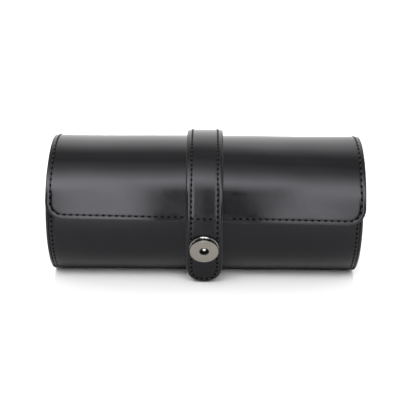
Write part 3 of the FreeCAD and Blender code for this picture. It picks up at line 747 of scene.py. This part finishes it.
shell_cut = Cut(shell_half, 0.0, shell_track.length)
fine_ends = [(side * (SHELL_HALF - END_MARGIN), 2.4 * MM, 0.4 * MM) for side in (-1, 1)]
fold_at = LEG + TURN_IN * math.pi / 2
shell = leather_sheet(
    "case_leather", shell_track, shell_cut,
    stations(-SHELL_HALF, SHELL_HALF, 2.4 * MM, fine_ends),
    stations(0, shell_track.length, 1.6 * MM,
             [(fold_at, 4 * MM, 0.5 * MM), (SHELL_START + LIP_MARGIN, 2 * MM, 0.4 * MM),
              (shell_track.length - fold_at, 4 * MM, 0.5 * MM)]),
    thickness=shell_depth, relief=shell_relief, rim=0.5 * MM)
wear(shell, CASE_LEATHER)
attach(shell, "case")
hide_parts("body_shell")


def above_the_base(_, s):
    return shell_track.at(np.array([s]))[0][1] > BASE_CLEAR


def straight_path(*ends):
    return resample(np.array(ends), MM)


SIDES = ((-1, "left"), (1, "right"))
for side, label in SIDES:
    x = side * (SHELL_HALF - END_MARGIN)
    path = straight_path((x, SHELL_START + END_SEAM_STOPS[0]), (x, SHELL_END - END_SEAM_STOPS[1]))
    row = stitch_row(label + "_end_stitches", shell_track, None, path, END_PITCH,
                     shell_relief, keep=above_the_base)
    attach(row, "case")
    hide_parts(label + "_front_seam", label + "_rear_seam")

lip_half = SHELL_HALF - 5 * MM
lip_at = SHELL_START + LIP_MARGIN
lip = stitch_row("lip_stitches", shell_track, None,
                 straight_path((-lip_half, lip_at), (lip_half, lip_at)), LIP_PITCH, shell_relief)
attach(lip, "case")
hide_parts("lip_seam")

# ---- lining of the case
lining_cut = Cut(SHELL_HALF - 2 * MM, 0.0, lining_track.length)
lining = leather_sheet(
    "case_lining", lining_track, lining_cut,
    stations(-lining_cut.half, lining_cut.half, 3 * MM),
    stations(0, lining_track.length, 2.5 * MM), thickness=0.8 * MM, rim=0.3 * MM, rim_steps=4)
wear(lining, LINING)
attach(lining, "case")
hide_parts("body_lining")


# ---- ends and dividers
def closed_outline(radius, top=None):
    """Points (y, z) round the case's section, with a flat base and, if given, a flat top."""
    corner = 6 * MM
    if top is None:
        loop = Track(on_circle(radius, 90), 180, round_the_base(radius, 90, 90))
    else:
        rise = math.degrees(math.asin(min(1.0, (top - corner) / (radius - corner))))
        half = (radius - corner) * math.cos(math.radians(rise))
        runs = [(half, 0), arc(corner, 90 - rise)] + round_the_base(radius, rise, 180 - rise)
        loop = Track((0.0, AXIS + top), 180, runs + [arc(corner, 90 - rise), (half, 0)])
    return loop.at(np.linspace(0, loop.length, int(loop.length / (2 * MM)) + 1)[:-1])


def disc_piece(name, outline, face, back, crown, rim, side, rings):
    """A padded disc between two planes: crowned on its outer face, with a rounded rim."""
    rim_steps = 5
    centre = outline.mean(0)
    count = len(outline)
    vertices = []
    edge = []
    size = np.linalg.norm(outline - centre, axis=1)
    inner = 1 - rim / size

    def ring(scale, x, worn):
        for k in range(count):
            vertices.append((x, *(centre + (outline[k] - centre) * scale[k])))
            edge.append(worn)

    for share in np.linspace(0, 1, rings)[1:]:
        ring(inner * share, face + side * crown * (1 - share ** 2), math.exp(-(1 - share) * 26))
    for k in range(1, rim_steps):
        turn = math.pi * k / rim_steps
        reach = 1 - rim * (1 - math.sin(turn)) / size
        ring(reach, face - side * abs(face - back) * (1 - math.cos(turn)) / 2, 1.0)
    ring(inner, back, 1.0)
    ring(inner * 0.5, back, 0.0)
    loops = np.arange(len(vertices)).reshape(-1, count)
    vertices += [(face + side * crown, *centre), (back, *centre)]
    edge += [0.0, 0.0]
    faces = fan(loops.size, loops[0]) + fan(loops.size + 1, loops[-1][::-1])
    for first, second in zip(loops, loops[1:]):
        faces += band(first, second)
    return new_object(name, vertices, faces, {"edge": edge})


for side, label in SIDES:
    panel = disc_piece(label + "_end_leather", closed_outline(CASE_RADIUS), side * CASE_HALF,
                       side * SHELL_HALF, 0.6 * MM, 0.7 * MM, side, rings=20)
    wear(panel, CASE_LEATHER)
    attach(panel, "case")
    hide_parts(label + "_end_panel")
    inside = disc_piece(label + "_end_suede", closed_outline(BOARD_INNER + 0.5 * MM),
                        side * ROOM_HALF, side * SHELL_HALF, 0.5 * MM, 0.35 * MM, -side, rings=14)
    wear(inside, LINING)
    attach(inside, "case")
    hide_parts(label + "_end_lining")
    low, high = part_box(label + "_divider_cover")
    middle = (low.x + high.x) / 2
    half = (high.x - low.x) / 2
    flat = half * 0.8       # the rest of its thickness is crown
    outline = closed_outline(LINING_INNER - 0.1 * MM, top=high.z - AXIS)
    divider = disc_piece(label + "_divider_suede", outline, middle + flat, middle - flat,
                         0.2 * half, flat, 1, rings=12)
    wear(divider, LINING)
    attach(divider, "case")
    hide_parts(label + "_divider_cover")

# ---- flap
FLAP_THICKNESS = 1.0 * MM
FLAP_MARGIN = 2.8 * MM
FLAP_PITCH = 3.68 * MM
FLAP_GROOVE = (0.07 * MM, 0.6 * MM)
FLAP_HANG = {"skew": -3.0 / 180, "shift": 1.1 * MM}
FLARE = 0.42 * MM           # how far the edge curls out, away from the strap
FLARE_LENGTH = 9 * MM
HINGE_REACH = 4 * MM        # hinge_zone reaches this far to both sides of the joint
flap_cut = Cut(FLAP_HALF, 0.0, flap_track.length, 2 * MM, 9.5 * MM, **FLAP_HANG)


def fold_zone(track, start, end):
    return {"start": (0, *track.at(start)), "end": (0, *track.at(end))}


def flap_relief(x, s):
    inset = flap_cut.inset(x, s)
    rolled = -0.1 * MM * np.exp(-inset / (0.5 * MM))
    near_edge = np.clip(1 - (flap_track.length - s) / FLARE_LENGTH, 0, 1)
    beside = smoothstep(np.abs(x), STRAP_HALF + 2 * MM, STRAP_HALF + 20 * MM)
    flare = FLARE * near_edge ** 2 * beside
    waves = soft_waves(x, s, 0.17 * MM, 5)
    return groove(inset, FLAP_MARGIN, *FLAP_GROOVE) + rolled + flare + waves


def flap_rise(s):
    """The flap lies on the case at its root and lifts off towards the hinge."""
    gap = CASE_RADIUS + SHELL_LEATHER - FLAP_OUTER
    return gap * (1 - smoothstep(s, 2 * MM, HINGE_AT - MM))


flap = leather_sheet(
    "flap_leather_cover", flap_track, flap_cut,
    stations(-FLAP_HALF, FLAP_HALF, 1.7 * MM,
             [(side * (FLAP_HALF - FLAP_MARGIN), 2.4 * MM, 0.4 * MM) for side in (-1, 1)]),
    stations(0, flap_track.length, 1.5 * MM,
             [(flap_track.length - FLAP_MARGIN, 2.8 * MM, 0.35 * MM),
              (FLAP_MARGIN, 2.8 * MM, 0.4 * MM)]),
    thickness=FLAP_THICKNESS, relief=flap_relief, rim=0.45 * MM, rise=flap_rise)
wear(flap, FLAP_LEATHER)
hinge_zone = fold_zone(flap_track, HINGE_AT - HINGE_REACH, HINGE_AT + HINGE_REACH)
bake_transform(flap)
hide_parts("flap_leather", "flap_root")

flap_lining_cut = Cut(FLAP_HALF - 0.7 * MM, 0.8 * MM, flap_track.length - 0.9 * MM, 2 * MM,
                      9 * MM, **FLAP_HANG)
flap_lining = leather_sheet(
    "flap_suede", flap_track, flap_lining_cut,
    stations(-flap_lining_cut.half, flap_lining_cut.half, 3 * MM),
    stations(flap_lining_cut.start, flap_lining_cut.end, 2 * MM),
    top=-FLAP_THICKNESS, thickness=0.65 * MM, rim=0.3 * MM, rim_steps=4, rise=flap_rise)
wear(flap_lining, LINING)
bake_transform(flap_lining)
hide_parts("flap_lining")


def beside_strap(x, s):
    return abs(x) > STRAP_HALF + 0.6 * MM or s < flap_track.length / 2


flap_stitches = stitch_row(
    "flap_stitches", flap_track, flap_cut, outline_path(flap_cut, FLAP_MARGIN), FLAP_PITCH,
    flap_relief, keep=beside_strap, rise=flap_rise)
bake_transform(flap_stitches)
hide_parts("left_flap_seam", "right_flap_seam", "root_seam")

# ---- strap and its tail
STRAP_MARGIN = STRAP_HALF - 7.4 * MM
STRAP_PITCH = 3.1 * MM
STRAP_GROOVE = (0.06 * MM, 0.7 * MM)
STRAP_RIM = 0.6 * MM
STRAP_CROWN = 0.03 * MM
TIP_LENGTH = 12 * MM
TIP_DRAWN_IN = 5.2 * MM
CROSS_HALF = 7 * MM
BEND_BEFORE = 1.5 * MM      # reach of bend_zone, before and past the tail's joint
BEND_PAST = 5.5 * MM


def strap_half(s):
    """The strap keeps its width, then draws in towards the tip of its tail."""
    tip = np.clip(1 - (strap_track.length - s) / TIP_LENGTH, 0, 1)
    return STRAP_HALF - TIP_DRAWN_IN * tip ** 2


strap_cut = Cut(strap_half, 0.0, strap_track.length, 9.5 * MM, 5.2 * MM)


def strap_relief(x, s):
    inset = strap_cut.inset(x, s)
    crown = STRAP_CROWN * smoothstep(inset, STRAP_MARGIN, STRAP_HALF)
    flat = 1 - np.exp(-((s - BUTTON_AT) / (9 * MM)) ** 4)
    rolled = -0.35 * MM * np.exp(-inset / (0.9 * MM))
    crease = -0.05 * MM * np.exp(-((s - BEND_AT) / (0.6 * MM)) ** 2)
    return crown * flat + groove(inset, STRAP_MARGIN, *STRAP_GROOVE) + rolled + crease


strap_across = stations(-STRAP_HALF, STRAP_HALF, 0.8 * MM)
strap_along = stations(0, strap_track.length, 1.0 * MM,
                       [(BEND_AT, 2 * MM, 0.4 * MM), (STRAP_MARGIN, 2.6 * MM, 0.4 * MM),
                        (strap_track.length - STRAP_MARGIN, 2.6 * MM, 0.4 * MM)])
bend_zone = fold_zone(strap_track, BEND_AT - BEND_BEFORE, BEND_AT + BEND_PAST)
for label, top, thickness, relief in (("face", 0.0, STRAP_FACE, strap_relief),
                                      ("backing", -STRAP_FACE, STRAP_BACKING, None)):
    layer = leather_sheet("strap_" + label + "_leather", strap_track, strap_cut, strap_across,
                          strap_along, thickness, STRAP_RIM, top=top, relief=relief)
    wear(layer, STRAP_LEATHER)
    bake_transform(layer)
    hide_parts("strap_" + label, "tail_" + label)
strap_stitches = stitch_row("strap_stitches", strap_track, strap_cut,
                            outline_path(strap_cut, STRAP_MARGIN), STRAP_PITCH, strap_relief)
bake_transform(strap_stitches)
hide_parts("left_strap_seam", "right_strap_seam", "tail_seam")
cross_at = BEND_AT - FLAP_MARGIN * STRAP_OUTER / FLAP_OUTER
cross_stitches = stitch_row("strap_cross_stitches", strap_track, strap_cut,
                            straight_path((-CROSS_HALF, cross_at), (CROSS_HALF, cross_at)),
                            FLAP_PITCH, strap_relief)
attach(cross_stitches, "flap")

# ---- magnetic button
BUTTON_CENTRE = Vector((0, *strap_track.at(BUTTON_AT)))
BUTTON_AXIS = Vector((0, *strap_track.normal(BUTTON_AT))).normalized()


def rounded(points, radius, steps):
    """A closed (radius, height) outline in metres from one in millimetres.

    A corner whose third value isn't 0 is rounded by that many times the radius.
    """
    result = []
    corners = np.array([p[:2] for p in points], float) * MM
    for k, here in enumerate(corners):
        before = corners[k - 1] - here
        after = corners[(k + 1) % len(corners)] - here
        share = points[k][2] if len(points[k]) > 2 else 0
        if not share:
            result.append(here)
            continue
        reach = min(radius * share, np.linalg.norm(before) * 0.49, np.linalg.norm(after) * 0.49)
        first = here + unit(before) * reach
        last = here + unit(after) * reach
        for t in np.linspace(0, 1, steps):
            result.append((1 - t) ** 2 * first + 2 * t * (1 - t) * here + t ** 2 * last)
    return result


def lathe(name, outline, centre, axis, steps):
    """A closed (radius, height) outline spun round an axis."""
    turn = Vector((0, 0, 1)).rotation_difference(axis).to_matrix()
    vertices = []
    for a in circle(steps):
        for radius, height in outline:
            spoke = Vector((radius * math.cos(a), radius * math.sin(a), height))
            vertices.append(tuple(centre + turn @ spoke))
    loops = np.arange(len(vertices)).reshape(steps, -1)
    on_axis = [radius < 1e-7 for radius, _ in outline]
    faces = []
    for first, second in zip(loops, np.roll(loops, -1, 0)):
        faces += [quad for k, quad in enumerate(band(first, second))
                  if not (on_axis[k] and on_axis[(k + 1) % len(on_axis)])]
    return new_object(name, vertices, faces, merge=True)


# Each part's name, the CAD node it replaces, material and slot, steps round the axis, corner
# radius in millimetres and steps, and outline.
BUTTON_PARTS = [
    ("button_rim", None, DARK_METAL, "black_nickel", 128, 0.4, 7,
     [(7.9, 0.9), (7.9, 2.3, 1), (8.3, 2.8, 1.5), (8.3, 3.3, 1), (8.15, 3.4), (8.0, 3.4),
      (7.95, 2.5), (6.3, 2.4), (6.25, 0.9)]),
    ("button_flange", None, RIM_METAL, "black_nickel", 128, 0.25, 5,
     [(7.0, 0.0), (8.3, 0.0, 1), (8.45, 0.45, 1), (7.92, 1.1, 1), (7.0, 1.1)]),
    ("button_eyelet", None, DARK_METAL, "black_nickel", 64, 0.2, 5,
     [(1.9, 2.0), (2.7, 2.0), (2.75, 3.5, 1.5), (2.35, 3.62, 1.5), (2.0, 3.3, 1.5)]),
    ("button_face", "button_case", FACE_METAL, "black_nickel", 128, 0.2, 6,
     [(8.1, 3.5, 1), (8.05, 2.7), (2.5, 2.45), (2.5, 3.4, 1.2), (2.8, 3.4, 1.2), (3.05, 3.3, 1)]),
    ("button_rivet_head", "button_rivet", STEEL, "bright_steel", 64, 0.3, 6,
     [(0.0, -4.25), (2.3, -4.25, 1), (2.3, -3.95), (1.25, -3.95), (1.1, 1.8), (1.3, 1.8, 1),
      (1.25, 2.1, 1), (0.7, 2.4, 1.5), (0.0, 2.45)]),
]
for name, stands_for, material, slot_name, turns, corner, corner_steps, outline in BUTTON_PARTS:
    outline = rounded(outline, corner * MM, corner_steps)
    part = lathe(name, outline, BUTTON_CENTRE, BUTTON_AXIS, turns)
    wear(part, material)
    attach(part, "strap_tail")
    if stands_for:
        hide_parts(stands_for)


# ---- pillows
PILLOW_DOME = 0.9 * MM
PILLOW_CORNER = 5 * MM
PILLOW_SIDES = 72
PILLOW_STUFFING = (0.6 * MM, 1.0 * MM)  # room left to swell, at each end and all round
PILLOW_SWELL = 1.6 * MM
CORE_CLEAR = (0.45 * MM, 0.35 * MM)     # suede off the foam, round it and at its ends


def pillow_form(name, centre, length, radius):
    """A stuffed roll: round between its two end seams, with softly domed ends."""
    half = length / 2
    flat = radius - PILLOW_CORNER
    profile = [(-half + PILLOW_DOME * t ** 2, flat * t) for t in np.linspace(0, 1, 9)]
    for a in np.linspace(0, math.pi / 2, 7)[1:]:
        profile.append((-half + PILLOW_DOME + PILLOW_CORNER * (1 - math.cos(a)),
                        flat + PILLOW_CORNER * math.sin(a)))
    profile += [(x, radius) for x in np.linspace(-half + PILLOW_DOME + PILLOW_CORNER, 0, 17)[1:]]
    profile += [(-x, r) for x, r in reversed(profile[:-1])]
    vertices = []
    for x, r in profile[1:-1]:
        for a in circle(PILLOW_SIDES):
            vertices.append((x, r * math.cos(a), r * math.sin(a)))
    loops = np.arange(len(vertices)).reshape(-1, PILLOW_SIDES)
    vertices += [(-half, 0, 0), (half, 0, 0)]
    faces = []
    for first, second in zip(loops, loops[1:]):
        faces += band(first, second)
    # The cloth's wrinkles depend on the order of the faces, so the two ends take turns.
    for left, (tip, ahead, here) in zip(fan(loops.size, loops[0]), fan(loops.size + 1, loops[-1])):
        faces += [left, (tip, here, ahead)]
    thing = new_object(name, vertices, faces)
    thing.location = centre
    return thing


CLOTH_FRAMES = 15
CLOTH_SETTINGS = {
    "quality": 6, "mass": 0.15, "use_pressure": True, "uniform_pressure_force": 3.0,
    "tension_stiffness": 14, "compression_stiffness": 8, "bending_stiffness": 0.4,
    "vertex_group_mass": "seam", "shrink_min": -0.03}


def stuff(thing, reach):
    """Blows the form up a little as cloth, so that it wrinkles at its seams, then settles it."""
    mesh = thing.data
    rest = np.array([v.co for v in mesh.vertices], float)
    group = thing.vertex_groups.new(name="seam")
    half = np.abs(rest[:, 0]).max()
    radius = np.hypot(rest[:, 1], rest[:, 2])
    off_seam = np.abs(rest[:, 0]) - (half - PILLOW_CORNER)
    near = np.exp(-(off_seam / (1.6 * MM)) ** 2) * (radius > radius.max() * 0.9)
    for index, weight in enumerate(near):
        group.add([index], float(weight), "REPLACE")
    cloth = thing.modifiers.new("cloth", "CLOTH")
    for key, value in CLOTH_SETTINGS.items():
        setattr(cloth.settings, key, value)
    cloth.settings.effector_weights.gravity = 0
    scene = bpy.context.scene
    for number in range(1, CLOTH_FRAMES + 1):
        scene.frame_set(number)
    evaluated = thing.evaluated_get(bpy.context.evaluated_depsgraph_get())
    moved = np.array([v.co for v in evaluated.data.vertices], float)
    thing.modifiers.remove(cloth)
    scene.frame_set(1)
    shift = moved - rest
    length = np.linalg.norm(shift, axis=1, keepdims=True)
    return rest + shift * np.minimum(1, reach / np.maximum(length, 1e-9))


def round_the_core(shape, inner, outer, inner_half, outer_half):
    """The suede pushed out where it would cut into the foam, and held inside its own sizes."""
    rho = np.maximum(np.hypot(shape[:, 1], shape[:, 2]), 1e-9)
    wanted = np.where(rho > inner - 3 * MM, np.clip(rho, inner, outer), rho)
    along = np.abs(shape[:, 0])
    along = np.where(along > inner_half - MM, np.clip(along, inner_half, outer_half), along)
    return np.column_stack([np.sign(shape[:, 0]) * along, shape[:, 1:] * (wanted / rho)[:, None]])


pillow_shape = None
for label in ("left", "centre", "right"):
    low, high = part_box(label + "_pillow_sleeve")
    cap_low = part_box(label + "_pillow_left_cap")[0]
    cap_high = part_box(label + "_pillow_right_cap")[1]
    radius = (high.z - low.z) / 2
    centre = Vector(((cap_low.x + cap_high.x) / 2, 0, (low.z + high.z) / 2))
    length = cap_high.x - cap_low.x
    pillow = pillow_form(label + "_pillow", centre, length - 2 * PILLOW_STUFFING[0],
                         radius - PILLOW_STUFFING[1])
    if pillow_shape is None:
        pillow_shape = stuff(pillow, PILLOW_SWELL)
    shape = np.array([v.co for v in pillow.data.vertices]) if pillow_shape is None else pillow_shape
    core_low, core_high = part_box(label + "_pillow_core")
    pillow.data.vertices.foreach_set("co", round_the_core(
        shape, (core_high.z - core_low.z) / 2 + CORE_CLEAR[0], radius,
        (core_high.x - core_low.x) / 2 + CORE_CLEAR[1], length / 2 - 0.05 * MM).ravel())
    pillow.data.update()
    wear(pillow, PILLOW)
    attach(pillow, label + "_pillow")
    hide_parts(label + "_pillow_sleeve", label + "_pillow_left_cap",
                label + "_pillow_right_cap")

# ---- CAD nodes that stay
KEPT = [
    (("body_board", "left_end_board", "right_end_board", "left_divider_board",
      "right_divider_board"), BOARD),
    (("left_end_welt", "right_end_welt"), CASE_LEATHER),
    (("base_plate", "base_rivet", "base_washer", "button_plate"), STEEL),
    # the magnet's near-black colour is painted shade for the hollow of the button's hole
    (("button_magnet",), MAGNET_SHADE),
    (("left_pillow_core", "centre_pillow_core", "right_pillow_core"), FOAM),
]
for names, material in KEPT:
    for node_name in names:
        wear(frame["nodes"][node_name], material)


# ---- floor, light and camera
floor = new_object("floor", [(-6, -6, 0), (6, -6, 0), (6, 6, 0), (-6, 6, 0)], [(0, 1, 2, 3)])
floor_material, _, floor_shader = node_material("pale_floor")
floor_shader.inputs["Base Color"].default_value = (*grey(0.82), 1)
floor_shader.inputs["Roughness"].default_value = 0.14
floor_shader.inputs["Specular IOR Level"].default_value = 0.18
floor.data.materials.append(floor_material)
floor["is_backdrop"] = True

# Degrees up from the front, over the top, to the back, each with a brightness.
KEY_LIGHT = [(0, 8.6), (12, 9), (22, 9), (47, 9.5), (54, 8.6), (60, 6.4), (67, 4.2), (74, 2.4),
             (82, 1.1), (90, 0)]
WALLS = [(0, 0.1), (76, 0.2), (86, 0.9), (98, 1.05), (106, 0.9), (117, 1.8), (130, 2.8),
         (150, 2.5), (165, 1.8), (180, 1.5)]
BRIGHTEST_KEY = 12.0
BRIGHTEST_WALL = 4.0
# Where the key light and the walls fade out sideways; 1 is straight along the case.
KEY_LOW_HALF = (0.14, 0.2)
KEY_HALF = (0.34, 0.5)
WALL_HALF = (0.14, 0.4)
WALL_BESIDE = 0.35
END_LIGHT = (0.4, 0.9)
END_BRIGHTNESS = 0.9
KEY_RISE = (33, 44)         # degrees between which the key light widens
GAP_AT = 0.01               # dark gap in the middle of the key light, below GAP_TOP degrees
GAP_HALF = (0.036, 0.08)
GAP_TOP = (36, 54)
LIGHT_LEAN = 0.33           # the lights sink towards the right, in half turns
LEFT_LIFT = 0.65            # the key light is brighter on the left


def studio():
    """Light from all round: a broad soft box in front and above, white walls, a dim ceiling."""
    world = bpy.data.worlds.new("studio")
    bpy.context.scene.world = world
    world.use_nodes = True
    tree = world.node_tree
    op = functools.partial(calc, tree)

    def curve(value, points, scale=1.0):
        """The value mapped through (place, level) points, whose levels go up to the scale."""
        level = ramp(tree, value, [(place, grey(level / scale)) for place, level in points])
        return op("MULTIPLY", level, scale)

    def fade(value, places, first, last):
        return curve(value, list(zip(places, (first, last))))

    def half_turns(degrees):
        return [angle / 180 for angle in degrees]

    def round_the_case(points, scale):
        places, levels = zip(*points)
        return curve(turn, list(zip(half_turns(places), levels)), scale)

    direction = add(tree, "ShaderNodeTexCoord").outputs["Generated"]
    split = add(tree, "ShaderNodeSeparateXYZ", None, Vector=direction)
    across, y, z = (split.outputs[key] for key in "XYZ")
    turn = op("MULTIPLY", op("ARCTAN2", z, op("MULTIPLY", y, -1.0)), 1 / math.pi)
    turn = op("ADD", turn, op("MULTIPLY", op("MAXIMUM", across, 0.0), LIGHT_LEAN))
    aside = op("ABSOLUTE", across)
    key = round_the_case(KEY_LIGHT, BRIGHTEST_KEY)
    walls = round_the_case(WALLS, BRIGHTEST_WALL)
    narrow = fade(aside, KEY_LOW_HALF, 1.0, 0.0)
    broad = fade(aside, KEY_HALF, 1.0, 0.0)
    up = fade(turn, half_turns(KEY_RISE), 0.0, 1.0)
    middle = op("ADD", narrow, op("MULTIPLY", up, op("SUBTRACT", broad, narrow)))
    gap = op("ABSOLUTE", op("SUBTRACT", across, GAP_AT))
    open_key = op("MAXIMUM", fade(gap, GAP_HALF, 0.0, 1.0),
                  fade(turn, half_turns(GAP_TOP), 0.0, 1.0))
    key = op("MULTIPLY", op("MULTIPLY", key, middle), open_key)
    key = op("MULTIPLY", key, op("ADD", op("MULTIPLY", across, -LEFT_LIFT), 1.0))
    walls = op("MULTIPLY", walls, fade(aside, WALL_HALF, 1.0, WALL_BESIDE))
    ends = fade(aside, END_LIGHT, 0.0, END_BRIGHTNESS)
    total = op("ADD", op("ADD", key, walls), ends)
    tree.links.new(total, tree.nodes["Background"].inputs["Color"])


studio()

scene = bpy.context.scene
scene.view_settings.view_transform = "Standard"
scene.view_settings.look = "None"

CAMERA_RISE = math.radians(16.0)
CAMERA_ROLL = math.radians(0.45)
CAMERA_DISTANCE = 0.576
CAMERA_AIM = Vector((2.0 * MM, 0, AXIS - 2.0 * MM))
camera_data = bpy.data.cameras.new("camera")
camera_data.sensor_width = 36
camera_data.lens = 82.3
camera = bpy.data.objects.new("camera", camera_data)
scene.collection.objects.link(camera)
backward = Vector((0, -math.cos(CAMERA_RISE), math.sin(CAMERA_RISE)))
camera.location = CAMERA_AIM + backward * CAMERA_DISTANCE
camera.rotation_mode = "QUATERNION"
look = (-backward).to_track_quat("-Z", "Y")
camera.rotation_quaternion = look @ Quaternion((0, 0, 1), CAMERA_ROLL)
scene.camera = camera

low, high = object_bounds()
